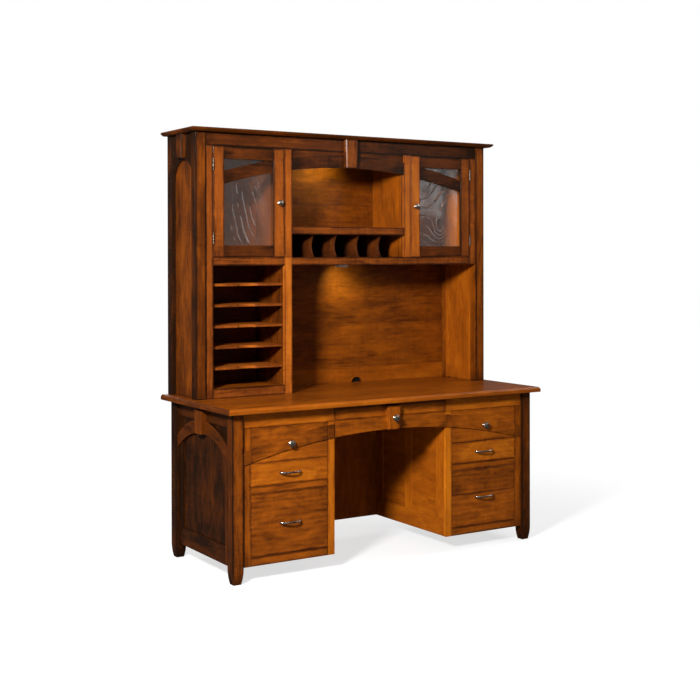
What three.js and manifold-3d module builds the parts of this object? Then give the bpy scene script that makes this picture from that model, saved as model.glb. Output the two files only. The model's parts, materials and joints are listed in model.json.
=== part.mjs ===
// A wall desk: a kneehole desk with seven drawers under a hutch with two glazed doors.
// Sizes are in millimetres. X runs to the right, Y to the back and Z up from the floor.
import * as THREE from "three";
import { mergeVertices } from "three/addons/utils/BufferGeometryUtils.js";
import Module from "manifold-3d";

const wasm = await Module();
wasm.setup();

// Desk top, with a bevel along its front and ends
const deskHigh = 762;
const topThick = 25;
const topWide = 1740;
const topDeep = 712;
const topOverSide = 35;
const topOverFront = 38;
const topOverBack = 40;
const topBevelHigh = 9;
const topBevelIn = 7;
const topEase = 1.5;

// Desk posts, with feet that curve in on all four sides
const postWide = 54;
const postChamfer = 2.5;
const footHigh = 68;
const footIn = 8;

// Desk case
const caseLow = 70;
const kneeHalf = 314;
const frameSetBack = 11;
const frameThick = 20;
const outerStileWide = 38;
const innerStileWide = 34;
const topRailWide = 66;
const middleRailWide = 32;
const bottomRailWide = 36;
const middleOpenHigh = 101;
const wedgeTipHigh = 4;
const centreRailThick = 12;
const shadowGroove = 2;

// Arch across the drawer row
const archRadius = 3000;
const archUnderTop = 123;
const bandWide = 60;
const bandProud = 6;
const bandBed = 2;
const stripHigh = 65;
const stripStep = 4;

// Keystones of the desk
const keyHalfTop = 37;
const keyHalfLow = 31;
const keyTopDrop = 15;
const keyProud = 15;
const keyChamfer = 5;

// Framed ends of the desk
const endSetBack = 14;
const endThick = 20;
const endRecess = 8;
const endTopRailWide = 65;
const endBottomRailWide = 80;
const endStileWide = 45;
const endArchRadius = 400;
const endArchUnderTop = 120;

// Kneehole sides and the desk's back
const sideThick = 20;
const sideRecess = 4;
const sideStileWide = 60;
const sideTopRailWide = 66;
const sideBottomRailWide = 85;
const floorThick = 12;
const backThick = 12;
const backSetIn = 18;

// Drawers
const drawerGap = 2;
const boxSideRoom = 13;
const boxWall = 12;
const boxBottom = 6;
const boxLift = 5;
const boxTopRoom = 8;
const boxRearRoom = 53;
const centreBoxLift = 14;
const runnerThick = 12;
const runnerUnder = 14;
const runnerGuideHigh = 10;
const runnerGuideRoom = 1.5;

// Round knobs and bow pulls
const knobRadius = 16.5;
const knobOut = 23;
const knobLift = 26;
const centreKnobDrop = 71;
const pullCentres = 96;
const pullOut = 27;
const pullThick = 7;
const pullHigh = 9;
const pullFoot = 6.5;
const doorKnobRadius = 14.5;

// Hutch
const hutchHigh = 1239;
const hutchDeep = 312;
const hutchSetIn = 38;
const hutchPostWide = 50;
const crownThick = 18;
const crownOverSide = 36;
const crownOverFront = 39;
const crownEdgeIn = 14;
const hutchFrameSetBack = 6;
const hutchFrameThick = 20;
const hutchTopRailWide = 60;
const hutchStileWide = 38;
const bayHalf = 327;
const partitionThick = 39;
const openBayHigh = 611;
const mainRailWide = 37;
const mainShelfThick = 25;
const bayRailWide = 44;
const bayFloorThick = 12;
const hutchBackThick = 12;
const hutchBackSetIn = 2;
const backRailHigh = 79;
const backRailProud = 4;

// Hutch ends
const hutchSideInSet = 4;
const hutchFieldSetBack = 18;
const hutchSpandrelThick = 8;
const hutchEndArchDrop = 120;
const hutchEndKeyHalfTop = 32;
const hutchEndKeyHalfLow = 28;
const hutchEndKeyLift = 6;
const hutchEndKeyProud = 16;

// Arch across the hutch
const hutchArchRadius = 2450;
const hutchArchUnderTop = 137;
const hutchBandWide = 60;
const valanceSetBack = 3;
const spandrelSetBack = 11;
const hutchKeyHalfTop = 35;
const hutchKeyHalfLow = 31;
const hutchKeyProud = 18;

// Pigeonholes
const holeCount = 5;
const holeHigh = 110;
const shelfRailWide = 38;
const shelfRailProud = 2;
const shelfThick = 18;
const dividerThick = 11;
const dividerSetBack = 15;
const scoopDeep = 28;

// Letter trays
const trayCount = 5;
const trayThick = 12.5;
const fingerWide = 105;
const fingerDeep = 18;

// Cable notch
const notchRadius = 34;
const notchHigh = 26;
const notchAcross = 227;

// Glazed doors and their hinges
const doorGap = 2;
const doorStileWide = 56;
const doorTopRailWide = 56;
const doorBottomRailWide = 54;
const barSetBack = 5;
const glassThick = 4;
const rebateWide = 8;
const rebateDeep = 6;
const hingeHigh = 55;
const hingeRadius = 3.6;
const hingeRoom = 0.4;
const hingeEndDrop = 57;
const hingeLeafDeep = 18;

// Puck lights
const lampRadius = 34;
const lampHigh = 24;
const lampLensRadius = 25;
const lampLensDrop = 3;
const lampAcross = 50;

// Hairline between pieces that meet, and how far a cut runs past a face
const seat = 0.3;
const overrun = 5;

// Counts of facets
const ARCH_STEPS = 14;
const END_ARCH_STEPS = 20;
const ROUND_STEPS = 12;
const SCOOP_STEPS = 8;
const KNOB_SIDES = 20;
const PULL_STEPS = 18;
const PULL_SIDES = 10;
const LAMP_SIDES = 28;
const BARREL_SIDES = 14;

// Corners closer than this are one corner.
const WELD = 1e-4;

// Planes of the desk that several pieces share
const caseTop = deskHigh - topThick;
const caseHalf = topWide / 2 - topOverSide;
const postInnerX = caseHalf - postWide;
const frontY = topOverFront - topDeep / 2;
const rearY = topDeep / 2 - topOverBack;
const frontPostRearY = frontY + postWide;
const rearPostFrontY = rearY - postWide;
const faceY = frontY + frameSetBack;
const faceRearY = faceY + frameThick;
const bandY = faceY - bandProud;
const backFrontY = rearY - backSetIn - backThick;
const openInnerX = kneeHalf + innerStileWide;
const openOuterX = postInnerX - outerStileWide;
const topOpenHighZ = caseTop - topRailWide;
const archLowZ = caseTop - archUnderTop;
const wedgeLowZ = archZ(openOuterX) - drawerGap - wedgeTipHigh;
const middleOpenLowZ = wedgeLowZ - middleOpenHigh;
const fileOpenHighZ = middleOpenLowZ - middleRailWide;
const fileOpenLowZ = caseLow + bottomRailWide;
const centreOpenHighZ = caseTop - centreRailThick;
const keyFrontY = frontY - keyProud;

// Planes of the hutch that several pieces share
const hutchHalf = topWide / 2 - hutchSetIn;
const hutchPostInnerX = hutchHalf - hutchPostWide;
const hutchRearY = topDeep / 2;
const hutchFrontY = hutchRearY - hutchDeep;
const crownLowZ = deskHigh + hutchHigh - crownThick;
const hutchFaceY = hutchFrontY + hutchFrameSetBack;
const hutchFaceRearY = hutchFaceY + hutchFrameThick;
const innerFrontY = hutchFaceRearY + seat;
const hutchBackY = hutchRearY - hutchBackSetIn - hutchBackThick;
const innerRearY = hutchBackY - seat;
const innerHalf = hutchPostInnerX - seat;
const doorInnerX = bayHalf + partitionThick;
const doorOuterX = hutchPostInnerX - hutchStileWide;
const mainRailLowZ = deskHigh + openBayHigh;
const mainShelfTopZ = mainRailLowZ + mainRailWide;
const mainShelfLowZ = mainShelfTopZ - mainShelfThick;
const hutchRailLowZ = crownLowZ - hutchTopRailWide;
const hutchArchLowZ = crownLowZ - hutchArchUnderTop;
const bayFloorTopZ = deskHigh + bayRailWide;
const shelfHalvingY = (innerFrontY + innerRearY) / 2;

// Door limits, drawn from the hinge pin
const pinX = doorOuterX - doorGap / 2;
const pinY = hutchFaceY - hingeRadius - hingeRoom;
const doorWide = doorOuterX - doorInnerX - 2 * doorGap;
const doorYs = [hutchFaceY - pinY, hutchFaceRearY - pinY];
const doorZs = [mainShelfTopZ + doorGap, hutchRailLowZ - doorGap];

// Height of the lower edge of the drawer row's arched band.
function archZ(x) {
  return archLowZ - archRadius + Math.sqrt(archRadius ** 2 - x ** 2);
}

// Height of the lower edge of the arched band on the desk's ends.
function endArchZ(y) {
  const fromMiddle = y - (frontPostRearY + rearPostFrontY) / 2;
  return caseTop - endArchUnderTop - endArchRadius + Math.sqrt(endArchRadius ** 2 - fromMiddle ** 2);
}

// Height of the lower edge of the hutch's arched band.
function hutchArchZ(x) {
  return hutchArchLowZ - hutchArchRadius + Math.sqrt(hutchArchRadius ** 2 - x ** 2);
}

// Points of a curve from one place to another, the curve given as a height over each place.
function along(from, to, heightAt, steps) {
  const places = Array.from({ length: steps + 1 }, (_, i) => from + ((to - from) * i) / steps);
  return places.map((place) => [place, heightAt(place)]);
}

// Points of a circular arc from one angle to another.
function arc(centre, radius, from, to, steps) {
  const angles = Array.from({ length: steps + 1 }, (_, i) => from + ((to - from) * i) / steps);
  return angles.map((angle) => [
    centre[0] + radius * Math.cos(angle),
    centre[1] + radius * Math.sin(angle),
  ]);
}

// Two limits in rising order, on the side that the sign gives.
function span(side, a, b) {
  return [side * a, side * b].sort((low, high) => low - high);
}

// A closed geometry as a solid whose shared corners are merged.
function solidOf(geometry) {
  const bare = geometry.index ? geometry.toNonIndexed() : geometry.clone();
  bare.deleteAttribute("normal");
  bare.deleteAttribute("uv");
  const merged = mergeVertices(bare, WELD);
  const mesh = new wasm.Mesh({
    numProp: 3,
    vertProperties: merged.getAttribute("position").array,
    triVerts: new Uint32Array(merged.index.array),
  });
  return new wasm.Manifold(mesh);
}

// A geometry with each corner moved to the place that a function gives.
function moved(geometry, placeOf) {
  const position = geometry.getAttribute("position");
  for (let i = 0; i < position.count; i += 1) {
    position.setXYZ(i, ...placeOf(position.getX(i), position.getY(i), position.getZ(i)));
  }
  return geometry;
}

// A block between two limits on each axis.
function block(xs, ys, zs) {
  const pick = (limits, value) => limits[value > 0 ? 1 : 0];
  const unit = new THREE.BoxGeometry(1, 1, 1);
  return solidOf(moved(unit, (x, y, z) => [pick(xs, x), pick(ys, y), pick(zs, z)]));
}

// A flat outline with depth 1, its corners then placed by a function.
function extruded(outline, placeOf) {
  const shape = new THREE.Shape(outline.map(([a, b]) => new THREE.Vector2(a, b)));
  const geometry = new THREE.ExtrudeGeometry(shape, { depth: 1, bevelEnabled: false });
  return solidOf(moved(geometry, placeOf));
}

// An outline in X and Z, pushed through from the first Y to the second.
function prismY(outline, [front, rear]) {
  return extruded(outline, (a, b, depth) => [a, depth > 0 ? front : rear, b]);
}

// An outline in Y and Z, pushed through from the first X to the second.
function prismX(outline, [left, right]) {
  return extruded(outline, (a, b, depth) => [depth > 0 ? right : left, a, b]);
}

// An outline in X and Y, pushed through from the first Z to the second.
function prismZ(outline, [low, high]) {
  return extruded(outline, (a, b, depth) => [a, b, depth > 0 ? high : low]);
}

// A skin over a row of rings with as many points each, closed by a flat cap at both ends.
// Each ring runs anticlockwise as seen from the last one.
function loft(rings) {
  const size = rings[0].length;
  const faces = [];
  for (let r = 0; r + 1 < rings.length; r += 1) {
    for (let i = 0; i < size; i += 1) {
      const next = (i + 1) % size;
      const [a, b, c, d] = [r * size + i, r * size + next, (r + 1) * size + next, (r + 1) * size + i];
      faces.push(a, b, c, a, c, d);
    }
  }
  const last = (rings.length - 1) * size;
  for (let i = 1; i + 1 < size; i += 1) {
    faces.push(0, i + 1, i, last, last + i, last + i + 1);
  }
  const geometry = new THREE.BufferGeometry();
  geometry.setAttribute("position", new THREE.Float32BufferAttribute(rings.flat(2), 3));
  geometry.setIndex(faces);
  return solidOf(geometry);
}

// A solid turned round from a profile of radius and distance along Y.
function turned(profile, sides) {
  return solidOf(new THREE.LatheGeometry(profile.map(([r, y]) => new THREE.Vector2(r, y)), sides));
}

function join(...solids) {
  return solids.reduce((whole, solid) => whole.add(solid));
}

function cut(whole, ...tools) {
  return tools.reduce((rest, tool) => rest.subtract(tool), whole);
}

// Looks of the materials
const looks = {
  wood: { color: 0x7c3c1a, roughness: 0.42, metalness: 0 },
  boxwood: { color: 0xb98a57, roughness: 0.6, metalness: 0 },
  pewter: { color: 0x8d8981, roughness: 0.36, metalness: 0.9 },
  glass: { color: 0xd3dad8, roughness: 0.08, metalness: 0, transparent: true, opacity: 0.35 },
  lamp: { color: 0xe6e2d8, roughness: 0.4, metalness: 0 },
};

// A named mesh of a solid, placed in its group.
function piece(group, name, look, solid, place = [0, 0, 0], turn = [0, 0, 0]) {
  const { vertProperties, triVerts } = solid.getMesh();
  const geometry = new THREE.BufferGeometry();
  geometry.setAttribute("position", new THREE.BufferAttribute(vertProperties, 3));
  geometry.setIndex(new THREE.BufferAttribute(triVerts, 1));
  geometry.computeVertexNormals();
  const mesh = new THREE.Mesh(geometry, new THREE.MeshStandardMaterial(looks[look]));
  mesh.name = name;
  mesh.position.set(...place);
  mesh.rotation.set(...turn);
  group.add(mesh);
  return mesh;
}

const SIDES = [
  { side: -1, word: "left" },
  { side: 1, word: "right" },
];

// A turned solid points along Y, so these turns make it face the front or the floor.
const FACE_FRONT = [Math.PI, 0, 0];
const FACE_DOWN = [-Math.PI / 2, 0, 0];

// Limits across a door, a distance in from both of its upright edges.
function doorXs(side, inset) {
  return span(-side, doorGap / 2 + inset, doorGap / 2 + doorWide - inset);
}

// A board whose ends and front follow an edge profile of set-backs and heights.
// Its rear edge stays square.
function edgedBoard(half, front, rear, profile) {
  const rings = profile.map(([setIn, z]) => [
    [setIn - half, front + setIn, z],
    [half - setIn, front + setIn, z],
    [half - setIn, rear, z],
    [setIn - half, rear, z],
  ]);
  return loft(rings);
}

// A tapered block with its two outer upright edges chamfered.
// The corner function takes a place across and a distance out.
function keystone(cornerAt, halves, outs, heights) {
  const ring = (half, z) =>
    [
      [-half, outs[0]],
      [-half, outs[1] - keyChamfer],
      [keyChamfer - half, outs[1]],
      [half - keyChamfer, outs[1]],
      [half, outs[1] - keyChamfer],
      [half, outs[0]],
    ].map(([across, out]) => [...cornerAt(across, out), z]);
  return loft([ring(halves[0], heights[0]), ring(halves[1], heights[1])]);
}

// Where a keystone's corner lies, for one that faces the front and for one on an end.
const facingFront = (across, out) => [across, -out];
const facingEnd = (side, middle) => (across, out) => [side * out, middle + side * across];

// Square post with chamfered edges and a foot that curves in towards the floor.
function postSolid() {
  const ring = (half, z) => {
    const short = half - postChamfer;
    return [
      [-short, -half, z],
      [short, -half, z],
      [half, -short, z],
      [half, short, z],
      [short, half, z],
      [-short, half, z],
      [-half, short, z],
      [-half, -short, z],
    ];
  };
  const heightShares = [0, 0.2, 0.4, 0.6, 0.8, 1];
  const feet = heightShares.map((share) => ring(postWide / 2 - footIn * (1 - share) ** 2, footHigh * share));
  return loft([...feet, ring(postWide / 2, caseTop)]);
}

// An L-shaped drawer runner: a ledge under the box's side and a guide beside it.
// The wall is the face that carries the runner, and the box is the side it guides.
function runner(wallX, boxX, boxLowZ, ys) {
  const inward = Math.sign(boxX - wallX);
  const ledgeX = boxX + inward * runnerUnder;
  const guideX = boxX - inward * runnerGuideRoom;
  const ledgeTopZ = boxLowZ - seat;
  const sorted = (a, b) => [Math.min(a, b), Math.max(a, b)];
  return join(
    block(sorted(wallX, ledgeX), ys, [ledgeTopZ - runnerThick, ledgeTopZ]),
    block(sorted(wallX, guideX), ys, [ledgeTopZ - runnerThick, ledgeTopZ + runnerGuideHigh]),
  );
}

// Rows of the side drawers, each with its opening and its box's lower and upper edge.
const rows = [
  { word: "file", low: fileOpenLowZ, high: fileOpenHighZ, boxLow: fileOpenLowZ + boxLift },
  { word: "middle", low: middleOpenLowZ, high: wedgeLowZ, boxLow: middleOpenLowZ + boxLift },
  { word: "top", low: archZ(openInnerX), high: topOpenHighZ, boxLow: archZ(openInnerX) + boxLift },
];
const boxInnerX = openInnerX + boxSideRoom;
const boxOuterX = openOuterX - boxSideRoom;

// A prism along the drawer row's arch, between two heights above its lower edge.
function archStrip(xs, [lift, height], ys) {
  const lower = along(xs[0], xs[1], (x) => archZ(x) + lift, ARCH_STEPS);
  const upper = along(xs[1], xs[0], (x) => archZ(x) + height, ARCH_STEPS);
  return prismY([...lower, ...upper], ys);
}

// A prism from the drawer row's arch to a level edge.
function archTo(xs, lift, levelZ, ys) {
  const curve = along(xs[0], xs[1], (x) => archZ(x) + lift, ARCH_STEPS);
  return prismY([...curve, [xs[1], levelZ], [xs[0], levelZ]], ys);
}

// Desk posts and top
function addCarcase(group) {
  const profile = [
    [topEase, caseTop],
    [0, caseTop + topEase],
    [0, deskHigh - topBevelHigh],
    [topBevelIn, deskHigh],
  ];
  piece(group, "desk_top", "wood", edgedBoard(topWide / 2, -topDeep / 2, topDeep / 2, profile));
  const post = postSolid();
  for (const { side, word } of SIDES) {
    const x = side * (caseHalf - postWide / 2);
    piece(group, `post_front_${word}`, "wood", post, [x, frontY + postWide / 2, 0]);
    piece(group, `post_rear_${word}`, "wood", post, [x, rearY - postWide / 2, 0]);
  }
  const backs = [[seat - postInnerX, postInnerX - seat], [backFrontY, backFrontY + backThick]];
  piece(group, "base_back", "wood", block(...backs, [caseLow, caseTop]));
}

// Framed end between two posts: rails, stiles, an arched band with its keystone and the drawer runners.
function endPanel(side) {
  const outer = caseHalf - endSetBack;
  const inner = outer - endThick;
  const ys = [frontPostRearY + seat, rearPostFrontY - seat];
  const middle = (frontPostRearY + rearPostFrontY) / 2;
  const board = block(span(side, inner, outer), ys, [caseLow, caseTop]);
  const fieldYs = [ys[0] + endStileWide, ys[1] - endStileWide];
  const fieldXs = span(side, outer - endRecess, outer + overrun);
  const lower = along(fieldYs[0], fieldYs[1], endArchZ, END_ARCH_STEPS);
  const fieldLow = caseLow + endBottomRailWide;
  const field = prismX([...lower, [fieldYs[1], fieldLow], [fieldYs[0], fieldLow]], fieldXs);
  const railLow = caseTop - endTopRailWide;
  const past = [ys[0] - overrun, ys[1] + overrun];
  const bandMiddle = along(past[0], past[1], (y) => endArchZ(y) + bandWide / 2, END_ARCH_STEPS);
  const spandrels = prismX([...bandMiddle, [past[1], railLow], [past[0], railLow]], fieldXs);
  const bandLow = along(ys[0], ys[1], endArchZ, END_ARCH_STEPS);
  const bandHigh = along(ys[1], ys[0], (y) => endArchZ(y) + bandWide, END_ARCH_STEPS);
  const band = prismX([...bandLow, ...bandHigh], span(side, outer - endRecess - bandBed, outer + bandProud));
  const keyOuts = [outer - endRecess, caseHalf + keyProud];
  const keyHeights = [endArchZ(middle), caseTop - keyTopDrop];
  const key = keystone(facingEnd(side, middle), [keyHalfLow, keyHalfTop], keyOuts, keyHeights);
  const runners = rows.map((row) => runner(side * inner, side * boxOuterX, row.boxLow, ys));
  return join(cut(board, field, spandrels), band, key, ...runners);
}

// Face frame of a pedestal: stiles, rails, the wedge rail under the arch and the band's blocks.
function faceFrame(side) {
  const ys = [faceY, faceRearY];
  const openX = [openInnerX, openOuterX];
  const whole = span(side, kneeHalf, postInnerX - seat);
  const opening = (low, high) =>
    block(span(side, ...openX), [faceY - overrun, faceRearY + overrun], [low, high]);
  const frame = cut(
    block(whole, ys, [caseLow, caseTop]),
    opening(fileOpenLowZ, fileOpenHighZ),
    opening(middleOpenLowZ, wedgeLowZ),
    archTo(span(side, ...openX), -drawerGap, topOpenHighZ, [faceY - overrun, faceRearY + overrun]),
  );
  const bedY = faceY + shadowGroove;
  const grooveXs = span(side, kneeHalf - overrun, postInnerX);
  const groove = block(grooveXs, [faceY - overrun, bedY], [topOpenHighZ - drawerGap, topOpenHighZ]);
  const innerBlock = archStrip(span(side, kneeHalf, openInnerX), [0, bandWide], [bandY, bedY]);
  const outerBlock = archStrip(span(side, openOuterX, postInnerX - seat), [0, bandWide], [bandY, bedY]);
  return join(cut(frame, groove), innerBlock, outerBlock);
}

// Kneehole side of a pedestal, with panels sunk in its outer face, the pedestal's floor,
// the runners of the side drawers and the runner of the kneehole drawer.
function innerSide(side) {
  const ys = [faceRearY + seat, backFrontY - seat];
  const wall = kneeHalf + sideThick;
  const board = block(span(side, kneeHalf, wall), ys, [caseLow, caseTop]);
  const middle = (ys[0] + ys[1]) / 2;
  const panelXs = span(side, kneeHalf - overrun, kneeHalf + sideRecess);
  const panelZs = [caseLow + sideBottomRailWide, caseTop - sideTopRailWide];
  const frontPanel = block(panelXs, [ys[0] + sideStileWide, middle - sideStileWide / 2], panelZs);
  const rearPanel = block(panelXs, [middle + sideStileWide / 2, ys[1] - sideStileWide], panelZs);
  const floorZs = [caseLow, caseLow + floorThick];
  const floorEnd = caseHalf - endSetBack - endThick - seat;
  const betweenPosts = [frontPostRearY + seat, rearPostFrontY - seat];
  const floor = join(
    block(span(side, kneeHalf, postInnerX - seat), ys, floorZs),
    block(span(side, kneeHalf, floorEnd), betweenPosts, floorZs),
  );
  const runners = rows.map((row) => runner(side * wall, side * boxInnerX, row.boxLow, ys));
  const bed = side * (kneeHalf + sideRecess + seat);
  const centreRunner = runner(bed, side * (kneeHalf - boxSideRoom), archLowZ + centreBoxLift, ys);
  return join(cut(board, frontPanel, rearPanel), floor, ...runners, centreRunner);
}

// Drawer box, open at the top.
function drawerBox(xs, zs) {
  const ys = [faceRearY, backFrontY - boxRearRoom];
  const hollow = block(
    [xs[0] + boxWall, xs[1] - boxWall],
    [ys[0] + boxWall, ys[1] - boxWall],
    [zs[0] + boxBottom, zs[1] + overrun],
  );
  return cut(block(xs, ys, zs), hollow);
}

// Front of a drawer in the top row, with the arched band along its lower edge.
function archedFront(xs, highZ) {
  const board = archTo(xs, 0, highZ, [faceY, faceRearY]);
  return join(board, archStrip(xs, [0, bandWide], [bandY, faceY + shadowGroove]));
}

// Front of the kneehole drawer: a level strip, a sunk field, the arched band and the keystone.
function centreFront() {
  const half = kneeHalf - drawerGap;
  const xs = [-half, half];
  const board = archTo(xs, 0, centreOpenHighZ - drawerGap, [faceY, faceRearY]);
  const stripLowZ = caseTop - stripHigh;
  const wide = [-half - overrun, half + overrun];
  const sunk = archTo(wide, bandWide / 2, stripLowZ, [faceY - overrun, faceY + stripStep]);
  const band = archStrip(xs, [0, bandWide], [bandY, faceY + stripStep + shadowGroove]);
  const outs = [-faceY, -keyFrontY];
  const heights = [archLowZ, caseTop - keyTopDrop];
  return join(cut(board, sunk), band, keystone(facingFront, [keyHalfLow, keyHalfTop], outs, heights));
}

// Knob turned from shares of its radius and its projection.
function knobSolid(radius) {
  const profileShares = [
    [0, 0],
    [0.62, 0],
    [0.56, 0.12],
    [0.34, 0.26],
    [0.36, 0.42],
    [0.88, 0.58],
    [1, 0.7],
    [0.9, 0.86],
    [0.5, 0.97],
    [0, 1],
  ];
  return turned(profileShares.map(([r, y]) => [radius * r, knobOut * y]), KNOB_SIDES);
}

// Bow pull: an oval bar on a half-oval path, thicker at its feet, lying in X and Y.
function pullSolid() {
  const rings = [];
  for (let i = 0; i <= PULL_STEPS; i += 1) {
    const angle = Math.PI * (1 - i / PULL_STEPS);
    const out = Math.sin(angle);
    const reach = pullOut - pullThick / 2;
    const centre = new THREE.Vector3((pullCentres / 2) * Math.cos(angle), -reach * out, 0);
    const forward = new THREE.Vector3((pullCentres / 2) * Math.sin(angle), reach * Math.cos(angle), 0);
    const normal = new THREE.Vector3(0, 0, 1).cross(forward.normalize());
    const foot = (1 - out) ** 2;
    const thick = pullThick / 2 + (pullFoot - pullThick / 2) * foot;
    const high = pullHigh / 2 + (pullFoot - pullHigh / 2) * foot;
    const ring = [];
    for (let s = 0; s < PULL_SIDES; s += 1) {
      const turn = (2 * Math.PI * s) / PULL_SIDES;
      const corner = centre.clone().addScaledVector(normal, thick * Math.cos(turn));
      ring.push([corner.x, Math.min(corner.y, 0), high * Math.sin(turn)]);
    }
    rings.push(ring);
  }
  return loft(rings);
}

// The pedestals, their drawers and the kneehole drawer
function addDesk(root) {
  const desk = new THREE.Group();
  root.add(desk);
  addCarcase(desk);
  const railXs = [seat - kneeHalf, kneeHalf - seat];
  piece(desk, "centre_rail", "wood", block(railXs, [faceY, faceRearY], [centreOpenHighZ, caseTop]));
  const knob = knobSolid(knobRadius);
  const pull = pullSolid();
  const middleX = (openInnerX + openOuterX) / 2;
  for (const { side, word } of SIDES) {
    piece(desk, `end_panel_${word}`, "wood", endPanel(side));
    piece(desk, `face_frame_${word}`, "wood", faceFrame(side));
    piece(desk, `inner_side_${word}`, "wood", innerSide(side));
    for (const row of rows) {
      const drawer = new THREE.Group();
      desk.add(drawer);
      const xs = span(side, openInnerX + drawerGap, openOuterX - drawerGap);
      const arched = row.word === "top";
      const front = arched
        ? archedFront(xs, row.high - drawerGap)
        : block(xs, [faceY, faceRearY], [row.low + drawerGap, row.high - drawerGap]);
      piece(drawer, `drawer_front_${row.word}_${word}`, "wood", front);
      const box = drawerBox(span(side, boxInnerX, boxOuterX), [row.boxLow, row.high - boxTopRoom]);
      piece(drawer, `drawer_box_${row.word}_${word}`, "boxwood", box);
      const handle = `pull_${row.word}_${word}`;
      const x = side * middleX;
      if (arched) {
        piece(drawer, handle, "pewter", knob, [x, bandY, archZ(middleX) + knobLift], FACE_FRONT);
      } else {
        piece(drawer, handle, "pewter", pull, [x, faceY, (row.low + row.high) / 2]);
      }
    }
  }
  const drawer = new THREE.Group();
  desk.add(drawer);
  piece(drawer, "drawer_front_centre", "wood", centreFront());
  const boxHalf = kneeHalf - boxSideRoom;
  const boxZs = [archLowZ + centreBoxLift, centreOpenHighZ - boxTopRoom];
  piece(drawer, "drawer_box_centre", "boxwood", drawerBox([-boxHalf, boxHalf], boxZs));
  piece(drawer, "pull_centre", "pewter", knob, [0, keyFrontY, caseTop - centreKnobDrop], FACE_FRONT);
}

// Hutch end: two posts with a panel between them, an arched head and a keystone.
function hutchSide(side) {
  const zs = [deskHigh, crownLowZ];
  const postXs = span(side, hutchPostInnerX, hutchHalf);
  const between = [hutchFrontY + hutchPostWide, hutchRearY - hutchPostWide];
  const fieldX = hutchHalf - hutchFieldSetBack;
  const lapped = [between[0] - bandBed, between[1] + bandBed];
  const panel = block(span(side, hutchPostInnerX + hutchSideInSet, fieldX), lapped, zs);
  const radius = (between[1] - between[0]) / 2;
  const middle = (between[0] + between[1]) / 2;
  const apexZ = crownLowZ - hutchEndArchDrop;
  const head = arc([middle, apexZ - radius], radius, Math.PI, 0, 2 * ROUND_STEPS);
  const spandrelXs = span(side, fieldX - bandBed, fieldX + hutchSpandrelThick);
  const spandrel = prismX([...head, [between[1], crownLowZ], [between[0], crownLowZ]], spandrelXs);
  const keyOuts = [fieldX, hutchHalf + hutchEndKeyProud];
  const keyHalves = [hutchEndKeyHalfLow, hutchEndKeyHalfTop];
  const key = keystone(facingEnd(side, middle), keyHalves, keyOuts, [apexZ + hutchEndKeyLift, crownLowZ]);
  return join(
    block(postXs, [hutchFrontY, between[0]], zs),
    block(postXs, [between[1], hutchRearY], zs),
    panel,
    spandrel,
    key,
  );
}

// Hutch back: a panel with a bottom rail in the open bay and a half-round cable notch.
function hutchBack() {
  const panelYs = [hutchBackY, hutchBackY + hutchBackThick];
  const panel = block([-innerHalf, innerHalf], panelYs, [deskHigh, crownLowZ]);
  const railYs = [hutchBackY - backRailProud, hutchBackY + bandBed];
  const rail = block([seat - bayHalf, innerHalf], railYs, [deskHigh, deskHigh + backRailHigh]);
  const notchCentre = [notchAcross, deskHigh + notchHigh - notchRadius];
  const circle = arc(notchCentre, notchRadius, 0, 2 * Math.PI, 2 * ROUND_STEPS).slice(1);
  const notch = prismY(circle, [railYs[0] - overrun, panelYs[1] + overrun]);
  return cut(join(panel, rail), notch);
}

// Left partition, down to the desk top, with the floor of the letter bay.
// The main shelf passes through a slot in its front half.
function partitionLeft() {
  const ys = [innerFrontY, innerRearY];
  const wall = block([-doorInnerX, -bayHalf], ys, [deskHigh, crownLowZ]);
  const slotYs = [innerFrontY - overrun, shelfHalvingY + seat];
  const slot = block(
    [-doorInnerX - overrun, overrun - bayHalf],
    slotYs,
    [mainShelfLowZ - seat, mainShelfTopZ + seat],
  );
  const floor = block([-innerHalf, bandBed - doorInnerX], ys, [bayFloorTopZ - bayFloorThick, bayFloorTopZ]);
  return join(cut(wall, slot), floor);
}

// Main shelf, its rear half slotted over the left partition.
function mainShelf() {
  const zs = [mainShelfLowZ, mainShelfTopZ];
  const board = block([-innerHalf, innerHalf], [innerFrontY, innerRearY], zs);
  const slotXs = [-doorInnerX - seat, seat - bayHalf];
  const slotZs = [mainShelfLowZ - overrun, mainShelfTopZ + overrun];
  return cut(board, block(slotXs, [shelfHalvingY - seat, innerRearY + overrun], slotZs));
}

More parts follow.
